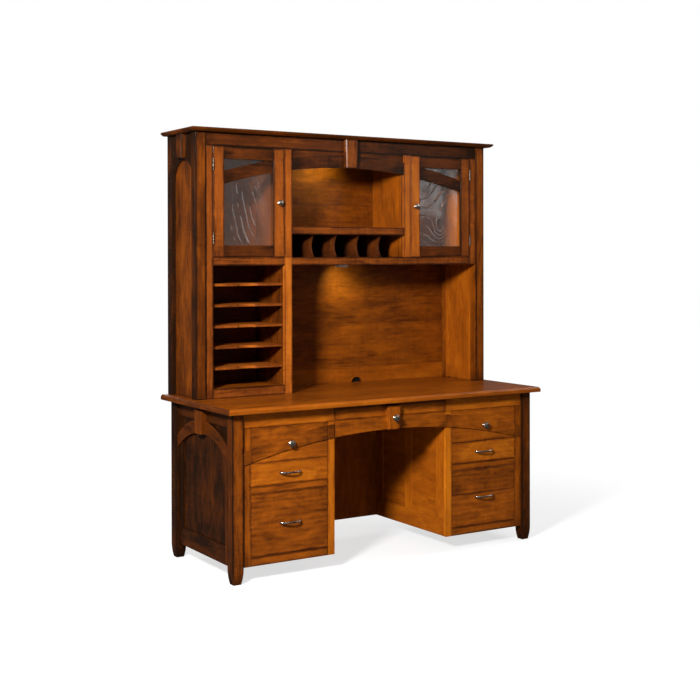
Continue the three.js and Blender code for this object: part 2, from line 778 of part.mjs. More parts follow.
// Hutch face frame: stiles, rails, and the sunk valance with its arched band and keystone.
function hutchFrame() {
  const ys = [hutchFaceY, hutchFaceRearY];
  const through = [hutchFaceY - overrun, hutchFaceRearY + overrun];
  const past = innerHalf + overrun;
  const doorZs = [mainShelfTopZ, hutchRailLowZ];
  const frame = cut(
    block([-innerHalf, innerHalf], ys, [deskHigh, crownLowZ]),
    block([-doorOuterX, -doorInnerX], through, [bayFloorTopZ, mainRailLowZ]),
    block([-bayHalf, past], through, [deskHigh - overrun, mainRailLowZ]),
    block([-bayHalf, bayHalf], through, doorZs),
    block([-doorOuterX, -doorInnerX], through, doorZs),
    block([doorInnerX, doorOuterX], through, doorZs),
  );
  const strip = (lift, height, frontY) => {
    const half = bayHalf + bandBed;
    const lower = along(-half, half, (x) => hutchArchZ(x) + lift, 2 * ARCH_STEPS);
    const upper = height
      ? along(half, -half, (x) => hutchArchZ(x) + height, 2 * ARCH_STEPS)
      : [[half, hutchRailLowZ + bandBed], [-half, hutchRailLowZ + bandBed]];
    return prismY([...lower, ...upper], [frontY, hutchFaceRearY]);
  };
  const band = strip(0, hutchBandWide, hutchFaceY + valanceSetBack);
  const spandrel = strip(0, 0, hutchFaceY + spandrelSetBack);
  const outs = [-hutchFaceY - spandrelSetBack, hutchKeyProud - hutchFrontY];
  const heights = [hutchArchLowZ, crownLowZ];
  const key = keystone(facingFront, [hutchKeyHalfLow, hutchKeyHalfTop], outs, heights);
  return join(frame, band, spandrel, key);
}

// Upper centre shelf with its rail and the scooped dividers under it.
function pigeonholes() {
  const half = bayHalf - seat;
  const railLowZ = mainShelfTopZ + holeHigh;
  const topZ = railLowZ + shelfRailWide;
  const boardLowZ = topZ - shelfThick;
  const rail = block([-half, half], [hutchFaceY - shelfRailProud, innerFrontY + bandBed], [railLowZ, topZ]);
  const board = block([-half, half], [innerFrontY, innerRearY], [boardLowZ, topZ]);
  const edgeY = hutchFaceY + dividerSetBack;
  const radius = ((holeHigh / 2) ** 2 + scoopDeep ** 2) / (2 * scoopDeep);
  const reach = Math.asin(holeHigh / 2 / radius);
  const centre = [edgeY - radius + scoopDeep, mainShelfTopZ + holeHigh / 2];
  const scoop = arc(centre, radius, -reach, reach, SCOOP_STEPS);
  const lap = boardLowZ + bandBed;
  const outline = [...scoop, [edgeY, lap], [innerRearY, lap], [innerRearY, mainShelfTopZ]];
  const pitch = (2 * bayHalf) / holeCount;
  const dividers = Array.from({ length: holeCount - 1 }, (_, i) => {
    const x = (i + 1) * pitch - bayHalf;
    return prismX(outline, [x - dividerThick / 2, x + dividerThick / 2]);
  });
  return join(board, rail, ...dividers);
}

// Letter tray with a finger scoop in its front edge, drawn about the middle of the bay.
function traySolid(bayMiddle) {
  const radius = ((fingerWide / 2) ** 2 + fingerDeep ** 2) / (2 * fingerDeep);
  const reach = Math.asin(fingerWide / 2 / radius);
  const centre = [0, innerFrontY + fingerDeep - radius];
  const scoop = arc(centre, radius, Math.PI / 2 + reach, Math.PI / 2 - reach, SCOOP_STEPS);
  const [left, right] = [-innerHalf - bayMiddle, -doorInnerX - seat - bayMiddle];
  const ends = [[right, innerFrontY], [right, innerRearY], [left, innerRearY], [left, innerFrontY]];
  return prismZ([...scoop, ...ends], [0, trayThick]);
}

// Door frame drawn from its hinge pin: stiles, rails, the rebate for the pane and the arched bar.
function doorFrame(side) {
  const frame = block(doorXs(side, 0), doorYs, doorZs);
  const paneXs = doorXs(side, doorStileWide);
  const paneZs = [doorZs[0] + doorBottomRailWide, doorZs[1] - doorTopRailWide];
  const window = block(paneXs, [doorYs[0] - overrun, doorYs[1] + overrun], paneZs);
  const rebate = block(
    doorXs(side, doorStileWide - rebateWide),
    [doorYs[1] - rebateDeep, doorYs[1] + overrun],
    [paneZs[0] - rebateWide, paneZs[1] + rebateWide],
  );
  const barXs = [paneXs[0] - bandBed, paneXs[1] + bandBed];
  const barZ = (x) => hutchArchZ(x + side * pinX);
  const lower = along(barXs[0], barXs[1], barZ, ARCH_STEPS);
  const upper = along(barXs[1], barXs[0], (x) => barZ(x) + hutchBandWide, ARCH_STEPS);
  const bar = prismY([...lower, ...upper], [doorYs[0] + barSetBack, doorYs[1] - rebateDeep]);
  return join(cut(frame, window, rebate), bar);
}

// Pane of a door, in its rebate.
function doorPane(side) {
  const xs = doorXs(side, doorStileWide - rebateWide + seat);
  const front = doorYs[1] - rebateDeep + seat;
  const inset = rebateWide - seat;
  return block(xs, [front, front + glassThick], [
    doorZs[0] + doorBottomRailWide - inset,
    doorZs[1] - doorTopRailWide + inset,
  ]);
}

// Butt hinge: its barrel on the pin and its leaves in the gap beside the door.
function hingeSolid() {
  const barrel = new THREE.CylinderGeometry(hingeRadius, hingeRadius, hingeHigh, BARREL_SIDES);
  barrel.rotateX(Math.PI / 2);
  const leafHalf = doorGap / 2 - hingeRoom;
  const leafYs = [0, hingeRadius + hingeRoom + hingeLeafDeep];
  return join(solidOf(barrel), block([-leafHalf, leafHalf], leafYs, [-hingeHigh / 2, hingeHigh / 2]));
}

// Puck light, turned from its flat seat to its sunk lens.
function lampSolid() {
  const rimShare = 0.92;
  const wallShare = 0.7;
  const lensY = lampHigh - lampLensDrop;
  return turned(
    [
      [0, 0],
      [lampRadius, 0],
      [lampRadius, lampHigh * wallShare],
      [lampRadius * rimShare, lampHigh],
      [lampLensRadius, lampHigh],
      [lampLensRadius, lensY],
      [0, lensY],
    ],
    LAMP_SIDES,
  );
}

// The hutch, its shelves and its doors
function addHutch(root) {
  const hutch = new THREE.Group();
  root.add(hutch);
  const crownShares = [
    [1, 0],
    [0.4, 0.3],
    [0.05, 0.55],
    [0, 0.75],
    [0.18, 1],
  ];
  const crownProfile = crownShares.map(([inward, up]) => [crownEdgeIn * inward, crownLowZ + crownThick * up]);
  const crownFrontY = hutchFrontY - crownOverFront;
  const crown = edgedBoard(hutchHalf + crownOverSide, crownFrontY, hutchRearY, crownProfile);
  piece(hutch, "crown", "wood", crown);
  for (const { side, word } of SIDES) piece(hutch, `hutch_side_${word}`, "wood", hutchSide(side));
  piece(hutch, "hutch_back", "wood", hutchBack());
  piece(hutch, "hutch_face_frame", "wood", hutchFrame());
  piece(hutch, "partition_left", "wood", partitionLeft());
  const upperWall = block([bayHalf, doorInnerX], [innerFrontY, innerRearY], [mainShelfTopZ, crownLowZ]);
  piece(hutch, "partition_right", "wood", upperWall);
  piece(hutch, "main_shelf", "wood", mainShelf());
  piece(hutch, "pigeonholes", "wood", pigeonholes());
  const bayMiddle = -(doorInnerX + doorOuterX) / 2;
  const tray = traySolid(bayMiddle);
  const slotHigh = (mainRailLowZ - bayFloorTopZ - trayCount * trayThick) / (trayCount + 1);
  for (let i = 0; i < trayCount; i += 1) {
    const z = bayFloorTopZ + slotHigh + i * (slotHigh + trayThick);
    piece(hutch, `letter_tray_${i + 1}`, "wood", tray, [bayMiddle, 0, z]);
  }
  const knob = knobSolid(doorKnobRadius);
  const hinge = hingeSolid();
  for (const { side, word } of SIDES) {
    const door = new THREE.Group();
    door.position.set(side * pinX, pinY, 0);
    hutch.add(door);
    piece(door, `door_frame_${word}`, "wood", doorFrame(side));
    piece(door, `door_glass_${word}`, "glass", doorPane(side));
    const knobAcross = doorWide + doorGap / 2 - doorStileWide / 2;
    const knobPlace = [-side * knobAcross, doorYs[0], (doorZs[0] + doorZs[1]) / 2];
    piece(door, `door_knob_${word}`, "pewter", knob, knobPlace, FACE_FRONT);
    const fromEnd = hingeEndDrop + hingeHigh / 2;
    piece(hutch, `hinge_${word}_lower`, "pewter", hinge, [side * pinX, pinY, doorZs[0] + fromEnd]);
    piece(hutch, `hinge_${word}_upper`, "pewter", hinge, [side * pinX, pinY, doorZs[1] - fromEnd]);
  }
  const lamp = lampSolid();
  const lampY = (innerFrontY + innerRearY) / 2;
  piece(hutch, "lamp_lower", "lamp", lamp, [lampAcross, lampY, mainShelfLowZ - seat], FACE_DOWN);
  piece(hutch, "lamp_upper", "lamp", lamp, [0, lampY, crownLowZ - seat], FACE_DOWN);
}

const root = new THREE.Group();
root.name = "wall_desk";
addDesk(root);
addHutch(root);

export default root;
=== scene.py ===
"""Looks of a wall desk: stained maple boards, pewter hardware, wavy glass, puck lights and a studio stage."""
import json
import math

import bmesh
import bpy
import numpy as np
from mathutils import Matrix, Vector

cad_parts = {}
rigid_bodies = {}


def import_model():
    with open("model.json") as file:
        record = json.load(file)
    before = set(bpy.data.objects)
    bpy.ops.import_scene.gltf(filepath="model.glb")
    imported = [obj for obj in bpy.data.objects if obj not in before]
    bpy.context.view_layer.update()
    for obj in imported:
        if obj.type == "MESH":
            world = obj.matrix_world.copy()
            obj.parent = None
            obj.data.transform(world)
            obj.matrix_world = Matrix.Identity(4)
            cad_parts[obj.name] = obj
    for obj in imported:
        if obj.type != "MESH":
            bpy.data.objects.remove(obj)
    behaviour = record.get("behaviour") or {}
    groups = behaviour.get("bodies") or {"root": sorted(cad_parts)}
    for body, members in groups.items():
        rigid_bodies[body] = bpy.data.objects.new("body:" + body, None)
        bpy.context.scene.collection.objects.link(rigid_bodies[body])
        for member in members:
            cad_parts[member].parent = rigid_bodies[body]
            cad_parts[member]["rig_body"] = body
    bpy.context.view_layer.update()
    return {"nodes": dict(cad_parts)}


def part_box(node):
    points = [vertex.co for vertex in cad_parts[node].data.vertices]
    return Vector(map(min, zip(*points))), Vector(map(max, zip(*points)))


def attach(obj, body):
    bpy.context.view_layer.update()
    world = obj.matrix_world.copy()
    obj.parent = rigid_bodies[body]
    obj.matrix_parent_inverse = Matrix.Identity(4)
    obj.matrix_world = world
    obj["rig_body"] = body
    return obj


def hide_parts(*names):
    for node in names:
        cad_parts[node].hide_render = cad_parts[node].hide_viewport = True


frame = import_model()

bl_info = {
    "name": "Wall desk looks",
    "version": (1, 0, 0),
    "blender": (4, 5, 0),
    "location": "3D View > Sidebar > Wall desk",
    "description": "Dresses a wall desk with its wood, hardware, glass and lamps, and sets its stage",
    "category": "Object",
}

# Width of the gap round a drawer front, and the slack in tests of where a face lies, in metres
DRAWER_GAP = 0.002
HAIR = 0.0005

# The desk's framed ends: set back from the posts, with a sunk field whose head lies in the arch's shade and
# is painted darker as that shade
END_SET_BACK = 0.014
END_RECESS = 0.008
END_STILE = 0.045
END_TOP_RAIL = 0.065
END_BOTTOM_RAIL = 0.080
END_FIELD_HEAD = 0.63
KEYSTONE_HALF = 0.0375
KEYSTONE_OUT = 0.010
POST_SIDE_REACH = 0.02

# The kneehole sides: rails and two sunk panels, with a stile that reaches this far from the middle at most
SIDE_RECESS = 0.004
SIDE_TOP_RAIL = 0.066
SIDE_BOTTOM_RAIL = 0.085
SIDE_MIDDLE_REACH = 0.1

# The desk's top and drawers: the file drawer on the right is glued up of two boards
TOP_EDGE = 0.0065
STRIP_HIGH = 0.065
SUNK_FIELD_DEEP = 0.005
FILE_SEAM_UP = 0.018
MIDDLE_OPEN_HALF = 0.05
BOX_WALL = 0.012

# The hutch's ends, face frame and pigeonholes
HUTCH_INSET = 0.003
HUTCH_SKIN = 0.004
HUTCH_POST = 0.050
HUTCH_FIELD_SET_BACK = 0.018
HUTCH_TOP_RAIL = 0.060
HUTCH_STILE = 0.038
BAY_RAIL = 0.044
MAIN_RAIL = 0.037
VALANCE_ABOVE = 0.1
VALANCE_BAND_BACK = 0.003
VALANCE_KEY_OUT = 0.002
SHELF_RAIL = 0.038
PIGEON_RAIL_DEEP = 0.021
UPRIGHT_LAP = 0.012

# The doors, whose arched bar is set back from the frame and lies well above the lower rail
DOOR_STILE = 0.056
DOOR_RAIL = 0.056
BAR_SET_BACK = 0.005
BAR_ABOVE = 0.2
PANE_SHY = 0.0006

# The cable notch, a round hole whose middle lies below the desk top, and its felt, a near-black sheet of
# painted shade behind the hole
NOTCH_X = 0.227
NOTCH_RADIUS = 0.034
NOTCH_DROP = 0.008
SHADE_FELT_SHY = 0.0004
SHADE_FELT_THICK = 0.003

# The place and angles that the photograph was taken from, and how far its frame is shifted
CAMERA_PLACE = (-3.1934, -4.9045, 1.4065)
CAMERA_YAW = math.radians(31.481)
CAMERA_PITCH = math.radians(-0.380)
CAMERA_ROLL = math.radians(0.101)
CAMERA_SHIFT = (0.04, -0.12)

# Share of light that the floor sends back
FLOOR_ALBEDO = 0.32

# Grain directions of a board, as the code that its faces carry
GRAIN = {"X": 0.0, "Y": 1.0, "Z": 2.0}

# Distances and angles for the work on a copied solid
MERGE = 1e-5
FLAT_ANGLE = math.radians(0.1)
ARRIS_ANGLE = math.radians(28)

# Least part of a face's normal along X for a face that looks sideways, and along Z for a level one
SIDEWAYS = 0.7
LEVEL = 0.9


def low(node, axis):
    """Lowest coordinate of a CAD node along X, Y or Z."""
    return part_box(node)[0]["XYZ".index(axis)]


def high(node, axis):
    """Highest coordinate of a CAD node along X, Y or Z."""
    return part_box(node)[1]["XYZ".index(axis)]


# Planes that the boards of several pieces share
CASE_TOP = low("desk_top", "Z")
CASE_LOW = low("base_back", "Z")
CASE_HALF = high("post_front_right", "X")
KNEE_HALF = low("face_frame_right", "X")
OPEN_INNER = low("drawer_front_file_right", "X") - DRAWER_GAP
OPEN_OUTER = high("drawer_front_file_right", "X") + DRAWER_GAP
FACE_Y = low("drawer_front_file_right", "Y")
FILE_TOP = high("drawer_front_file_right", "Z") + DRAWER_GAP
FILE_LOW = low("drawer_front_file_right", "Z") - DRAWER_GAP
WEDGE_LOW = high("drawer_front_middle_right", "Z") + DRAWER_GAP
TOP_OPEN = high("drawer_front_top_right", "Z") + DRAWER_GAP
END_FACE = CASE_HALF - END_SET_BACK
HUTCH_HALF = CASE_HALF - HUTCH_INSET
HUTCH_FRONT = low("hutch_side_right", "Y")
HUTCH_REAR = high("hutch_side_right", "Y")
HUTCH_FACE = low("door_frame_right", "Y")
DESK_HIGH = high("desk_top", "Z")
CROWN_LOW = low("crown", "Z")
RAIL_LOW = CROWN_LOW - HUTCH_TOP_RAIL
BAY_HALF = low("partition_right", "X")
DOOR_INNER = high("partition_right", "X")
SHELF_TOP = high("main_shelf", "Z")
MAIN_RAIL_LOW = SHELF_TOP - MAIN_RAIL


def read(items, name, width=3, kind=np.float32):
    """One property of all the items of a mesh, as an array with a row for each item."""
    values = np.empty(len(items) * width, kind)
    items.foreach_get(name, values)
    return values.reshape(-1, width)


def add_attribute(mesh, name, domain, values):
    """Gives a mesh an attribute: a number, or a row of three, for each face or point."""
    vectors = values.ndim == 2
    layer = mesh.attributes.new(name, "FLOAT_VECTOR" if vectors else "FLOAT", domain)
    layer.data.foreach_set("vector" if vectors else "value", values.astype(np.float32).ravel())


class Faces:
    """Faces of a mesh as arrays: the centre's x, y, z and distance across from the middle plane, and
    masks of the faces that look sideways and of the level ones."""

    def __init__(self, mesh):
        self.x, self.y, self.z = read(mesh.polygons, "center").T
        self.across = np.abs(self.x)
        out_x, _, out_z = np.abs(read(mesh.polygons, "normal").T)
        self.sideways = out_x > SIDEWAYS
        self.level = out_z > LEVEL


def everywhere(f):
    """A mask that takes every face."""
    return np.ones(len(f.x), bool)


def within(values, lowest, highest):
    """A mask of the values between two limits."""
    return (values > lowest) & (values < highest)


def new_object(name, mesh):
    """An object for a mesh, in the scene and at the origin."""
    made = bpy.data.objects.new(name, mesh)
    bpy.context.scene.collection.objects.link(made)
    return made


def board_attributes(mesh, boards, seed):
    """Gives each face the grain, tone, middle and half size of the board that it belongs to.

    Later boards in the list take faces from earlier ones. A board's box is the box round its own faces.
    """
    faces = Faces(mesh)
    count = len(mesh.polygons)
    owner = np.zeros(count, int)
    for number, (where, _, _) in enumerate(boards):
        owner[where(faces)] = number
    corners = read(mesh.vertices, "co")
    loops = read(mesh.loops, "vertex_index", 1, np.int32)[:, 0]
    sizes = read(mesh.polygons, "loop_total", 1, np.int32)[:, 0]
    loop_owner = np.repeat(owner, sizes)
    look, middle, half = np.zeros((3, count, 3), np.float32)
    chance = np.random.default_rng(seed)
    for number, (_, grain, tone) in enumerate(boards):
        draw = chance.random()
        mine = owner == number
        if not mine.any():
            continue
        points = corners[loops[loop_owner == number]]
        lowest, highest = points.min(0), points.max(0)
        look[mine] = (GRAIN[grain], draw, tone)
        middle[mine] = (lowest + highest) / 2
        half[mine] = (highest - lowest) / 2
    for name, values in (("board_look", look), ("board_middle", middle), ("board_half", half)):
        add_attribute(mesh, name, "FACE", values)


def ease_arrises(piece, width):
    """Rounds the arrises of a piece with two-step bevels, and keeps its wide faces flat in the shading."""
    bevel = piece.modifiers.new("eased_arris", "BEVEL")
    bevel.width = width
    bevel.segments = 2
    bevel.limit_method = "ANGLE"
    bevel.angle_limit = ARRIS_ANGLE
    bevel.miter_outer = "MITER_ARC"
    normals = piece.modifiers.new("flat_faces", "WEIGHTED_NORMAL")
    normals.mode = "FACE_AREA"
    normals.weight = 80


def finish_piece(name, mesh, node):
    """Puts a new piece in the place of a CAD node, on that node's body."""
    piece = new_object(name, mesh)
    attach(piece, frame["nodes"][node]["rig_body"])
    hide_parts(node)
    return piece


def stand_in(node, ending, shells, materials, sharp=None):
    """A new piece of closed shells in the place of a CAD node, with its edges past an angle kept sharp."""
    mesh = closed_mesh(node + ending, shells, [bpy.data.materials[name] for name in materials])
    if sharp is not None:
        mesh.set_sharp_from_angle(angle=sharp)
    finish_piece(node + ending, mesh, node)
    return mesh


def dress(node, cuts, boards, material, width):
    """Stands an eased copy of a CAD node in its place, cut along the joints between its boards."""
    work = bmesh.new()
    work.from_mesh(frame["nodes"][node].data)
    bmesh.ops.remove_doubles(work, verts=work.verts, dist=MERGE)
    bmesh.ops.dissolve_limit(work, angle_limit=FLAT_ANGLE, verts=work.verts, edges=work.edges)
    for axis, place in cuts:
        normal = Vector([float(letter == axis) for letter in "XYZ"])
        whole = work.verts[:] + work.edges[:] + work.faces[:]
        bmesh.ops.bisect_plane(work, geom=whole, dist=MERGE, plane_co=place * normal, plane_no=normal)
    mesh = bpy.data.meshes.new(node + "_eased")
    work.to_mesh(mesh)
    work.free()
    board_attributes(mesh, boards, sum(map(ord, node)))
    mesh.shade_smooth()
    mesh.set_sharp_from_angle(angle=ARRIS_ANGLE)
    mesh.materials.append(material)
    ease_arrises(finish_piece(node + "_eased", mesh, node), width)


def mirrored(axis, *places):
    """Cuts at each place and at its mirror image across the middle plane."""
    return [(axis, sign * place) for place in places for sign in (-1, 1)]


# Shader trees

class Sketch:
    """A shader tree, drawn node by node."""

    def __init__(self, tree):
        self.tree = tree

    def feed(self, socket, value):
        """Links a socket to another, or sets its value."""
        if isinstance(value, bpy.types.NodeSocket):
            self.tree.links.new(value, socket)
        else:
            socket.default_value = value

    def node(self, kind, inputs=None, **settings):
        """A shader node with its settings and inputs."""
        made = self.tree.nodes.new(kind)
        for key, value in settings.items():
            setattr(made, key, value)
        for key, value in (inputs or {}).items():
            self.feed(made.inputs[key], value)
        return made

    def math(self, operation, *values, clamp=False):
        """The result of a Math node."""
        made = self.node("ShaderNodeMath", operation=operation, use_clamp=clamp)
        for socket, value in zip(made.inputs, values):
            self.feed(socket, value)
        return made.outputs[0]

    def vector(self, operation, *values):
        """The result of a Vector Math node."""
        made = self.node("ShaderNodeVectorMath", operation=operation)
        for socket, value in zip(made.inputs, values):
            self.feed(socket, value)
        return made.outputs[0]

    def noise(self, place, stretch, detail=2.0, roughness=0.5, distortion=0.0):
        """Noise on a place that is stretched by so many cells per metre."""
        inputs = {
            "Vector": self.vector("MULTIPLY", place, stretch),
            "Scale": 1.0,
            "Detail": detail,
            "Roughness": roughness,
            "Distortion": distortion,
        }
        return self.node("ShaderNodeTexNoise", inputs).outputs[0]

    def fade(self, value, start, end, to_start=0.0, to_end=1.0):
        """A smooth step from one value to another."""
        inputs = {0: value, 1: start, 2: end, 3: to_start, 4: to_end}
        return self.node("ShaderNodeMapRange", inputs, interpolation_type="SMOOTHSTEP").outputs[0]

    def blend(self, share, first, second):
        """Two vectors or colours mixed by a share."""
        inputs = {0: share, 4: first, 5: second}
        return self.node("ShaderNodeMix", inputs, data_type="VECTOR").outputs[1]

    def ramp(self, share, stops):
        """A colour from a row of places and colours."""
        made = self.node("ShaderNodeValToRGB", {0: share})
        row = made.color_ramp.elements
        row[0].position, row[0].color = stops[0]
        row[1].position, row[1].color = stops[-1]
        for place, colour in stops[1:-1]:
            row.new(place).color = colour
        return made.outputs[0]


def shader_group(name, inputs, outputs):
    """A new shader node group with its sockets, as a sketch with its two end nodes."""
    tree = bpy.data.node_groups.new(name, "ShaderNodeTree")
    for label, kind, default in inputs:
        socket = tree.interface.new_socket(name=label, in_out="INPUT", socket_type=kind)
        if default is not None:
            socket.default_value = default
    for label, kind in outputs:
        tree.interface.new_socket(name=label, in_out="OUTPUT", socket_type=kind)
    sketch = Sketch(tree)
    return sketch, sketch.node("NodeGroupInput"), sketch.node("NodeGroupOutput")


FLOAT = "NodeSocketFloat"
VECTOR = "NodeSocketVector"


def board_group():
    """Where a point lies on its board.

    Place is the point turned so that X runs along the grain, and moved by the board's own draw.
    Edge is the distance to the nearest arris, which is the middle one of the three distances to the
    sides of the board's box. End is the distance to the nearer end of the board.
    """
    outputs = [("Place", VECTOR), ("Tone", FLOAT), ("Edge", FLOAT), ("End", FLOAT)]
    s, _, out = shader_group("Board place", [], outputs)
    point = s.node("ShaderNodeTexCoord").outputs["Object"]
    look = s.node("ShaderNodeAttribute", attribute_name="board_look").outputs["Vector"]
    middle = s.node("ShaderNodeAttribute", attribute_name="board_middle").outputs["Vector"]
    half = s.node("ShaderNodeAttribute", attribute_name="board_half").outputs["Vector"]
    code, draw, tone = s.node("ShaderNodeSeparateXYZ", {0: look}).outputs
    along_y = s.math("COMPARE", code, GRAIN["Y"], 0.25)
    along_z = s.math("COMPARE", code, GRAIN["Z"], 0.25)

    def turned(value):
        x, y, z = s.node("ShaderNodeSeparateXYZ", {0: value}).outputs
        for_y = s.node("ShaderNodeCombineXYZ", {0: y, 1: z, 2: x}).outputs[0]
        for_z = s.node("ShaderNodeCombineXYZ", {0: z, 1: x, 2: y}).outputs[0]
        return s.blend(along_z, s.blend(along_y, value, for_y), for_z)

    shift = s.vector("SCALE", (37.1, 19.7, 53.3))
    s.feed(shift.node.inputs["Scale"], draw)
    from_middle = s.vector("ABSOLUTE", s.vector("SUBTRACT", point, middle))
    room = turned(s.vector("SUBTRACT", half, from_middle))
    end, side, face = s.node("ShaderNodeSeparateXYZ", {0: room}).outputs
    least = s.math("MINIMUM", end, side)
    most = s.math("MAXIMUM", end, side)
    edge = s.math("MAXIMUM", least, s.math("MINIMUM", most, face))
    s.feed(out.inputs["Place"], s.vector("ADD", turned(point), shift))
    s.feed(out.inputs["Tone"], tone)
    s.feed(out.inputs["Edge"], edge)
    s.feed(out.inputs["End"], end)
    return s.tree


def maple_group():
    """Figure of maple under stain.

    Shade adds up fine fibres, growth rings, slow clouds, curl across the grain, dark mineral streaks and
    the board's own tone, and takes off what is rubbed dark beside edges and ends. Beside edges that darkening
    is partly burnished stain and partly painted shade that widens the dark gaps between parts, and the
    lighter arris is partly wear and partly a painted highlight.
    """
    inputs = [
        ("Place", VECTOR, None),
        ("Tone", FLOAT, 0.0),
        ("Edge", FLOAT, 1.0),
        ("End", FLOAT, 1.0),
        ("Fibre", FLOAT, 0.10),
        ("Rings", FLOAT, 0.03),
        ("Grain", FLOAT, 0.16),
        ("Clouds", FLOAT, 0.50),
        ("Blotches", FLOAT, 0.30),
        ("Curl", FLOAT, 0.10),
        ("Streaks", FLOAT, 0.14),
        ("Rubbed", FLOAT, 0.26),
        ("Swirl", FLOAT, 0.5),
    ]
    outputs = [("Shade", FLOAT), ("Gloss", FLOAT), ("Polish", FLOAT), ("Height", FLOAT)]
    s, given, out = shader_group("Stained maple", inputs, outputs)
    place = given.outputs["Place"]
    fibre = s.noise(place, (7.0, 330.0, 330.0), 3.0, 0.62)
    pore = s.noise(place, (45.0, 1100.0, 1100.0), 1.0)
    cloud = s.noise(place, (4.5, 12.0, 12.0), 3.0, 0.55, given.outputs["Swirl"])
    grain = s.noise(place, (4.5, 105.0, 105.0), 3.0, 0.65, 0.3)
    blotch = s.noise(place, (13.0, 42.0, 42.0), 4.0, 0.6, 0.8)
    curl_mask = s.fade(s.noise(place, (2.0, 6.0, 6.0), 1.0), 0.42, 0.62)
    curl = s.noise(place, (85.0, 9.0, 9.0), 1.5, 0.5, 0.7)
    streak = s.fade(s.noise(place, (3.2, 34.0, 34.0), 2.0, 0.5, 0.9), 0.60, 0.74)
    ring_place = s.vector("MULTIPLY", place, (0.9, 11.0, 11.0))
    ring_inputs = {"Vector": ring_place, "Scale": 1.3, "Distortion": 5.0, "Detail": 2.0, "Detail Scale": 0.9}
    rings = s.node("ShaderNodeTexWave", ring_inputs, wave_type="RINGS", rings_direction="X").outputs[1]

    def share(value, weight, middle=0.5):
        return s.math("MULTIPLY", s.math("SUBTRACT", value, middle), weight)

    total = s.math("MULTIPLY_ADD", given.outputs["Tone"], 0.42, 0.5)
    total = s.math("ADD", total, share(fibre, given.outputs["Fibre"]))
    total = s.math("ADD", total, share(rings, given.outputs["Rings"]))
    total = s.math("ADD", total, share(grain, given.outputs["Grain"]))
    total = s.math("ADD", total, share(cloud, given.outputs["Clouds"]))
    total = s.math("ADD", total, share(blotch, given.outputs["Blotches"]))
    total = s.math("ADD", total, s.math("MULTIPLY", curl_mask, share(curl, given.outputs["Curl"])))
    total = s.math("SUBTRACT", total, s.math("MULTIPLY", streak, given.outputs["Streaks"]))
    total = s.math("SUBTRACT", total, s.math("MULTIPLY", s.fade(pore, 0.66, 0.78), 0.07))
    ragged = s.math("MULTIPLY", s.noise(place, (30.0, 30.0, 30.0)), 0.007)
    edge = s.math("SUBTRACT", given.outputs["Edge"], ragged)
    end = s.math("SUBTRACT", given.outputs["End"], s.math("MULTIPLY", ragged, 5.0))
    # Darker beside a board's edges: partly burnished stain, partly painted shade that widens the dark gaps
    # round drawers and joints
    burnish_and_gap_shade = s.fade(edge, 0.005, -0.001)
    dark_end = s.fade(end, 0.060, -0.010)
    rubbed = s.math("MAXIMUM", burnish_and_gap_shade, s.math("MULTIPLY", dark_end, 0.35))
    total = s.math("SUBTRACT", total, s.math("MULTIPLY", rubbed, given.outputs["Rubbed"]))
    # Lighter on the very arris: partly wear through the stain, partly a painted highlight along the eased
    # edge
    wear_and_painted_light = s.fade(given.outputs["Edge"], 0.0016, 0.0004)
    total = s.math("ADD", total, s.math("MULTIPLY", wear_and_painted_light, 0.10))
    s.feed(out.inputs["Shade"], s.math("MAXIMUM", s.math("MINIMUM", total, 1.0), 0.0))
    uneven = s.math("ADD", share(fibre, 0.10), share(cloud, 0.14))
    s.feed(out.inputs["Gloss"], uneven)
    s.feed(out.inputs["Polish"], s.fade(given.outputs["Edge"], 0.0016, 0.0006))
    relief = s.math("ADD", s.math("MULTIPLY", fibre, 0.6), s.math("MULTIPLY", curl, 0.25))
    relief = s.math("SUBTRACT", relief, s.math("MULTIPLY", s.fade(pore, 0.62, 0.78), 0.4))
    s.feed(out.inputs["Height"], relief)
    return s.tree


def metal_group():
    """Aged pewter: dark where the attribute hollow is high, which is patina in recesses and, along the middle
    of a bow pull, a painted reflection of the wood; cloudy tarnish and fine scratches.
    """
    outputs = [("Worn", FLOAT), ("Gloss", FLOAT), ("Height", FLOAT)]
    s, _, out = shader_group("Aged pewter", [], outputs)
    point = s.node("ShaderNodeTexCoord").outputs["Object"]
    hollow = s.node("ShaderNodeAttribute", attribute_name="hollow").outputs["Fac"]
    tarnish = s.noise(point, (190.0, 190.0, 190.0), 3.0, 0.6)
    scratch = s.noise(point, (2400.0, 2400.0, 500.0), 2.0, 0.6)
    spots = s.math("MULTIPLY_ADD", tarnish, 2.0, -0.25)
    wear_and_painted_light = s.math("SUBTRACT", spots, s.math("MULTIPLY", hollow, 0.7), clamp=True)
    s.feed(out.inputs["Worn"], wear_and_painted_light)
    s.feed(out.inputs["Gloss"], s.math("MULTIPLY_ADD", tarnish, 0.22, s.math("MULTIPLY", hollow, 0.25)))
    s.feed(out.inputs["Height"], s.math("MULTIPLY_ADD", scratch, 0.5, tarnish))
    return s.tree


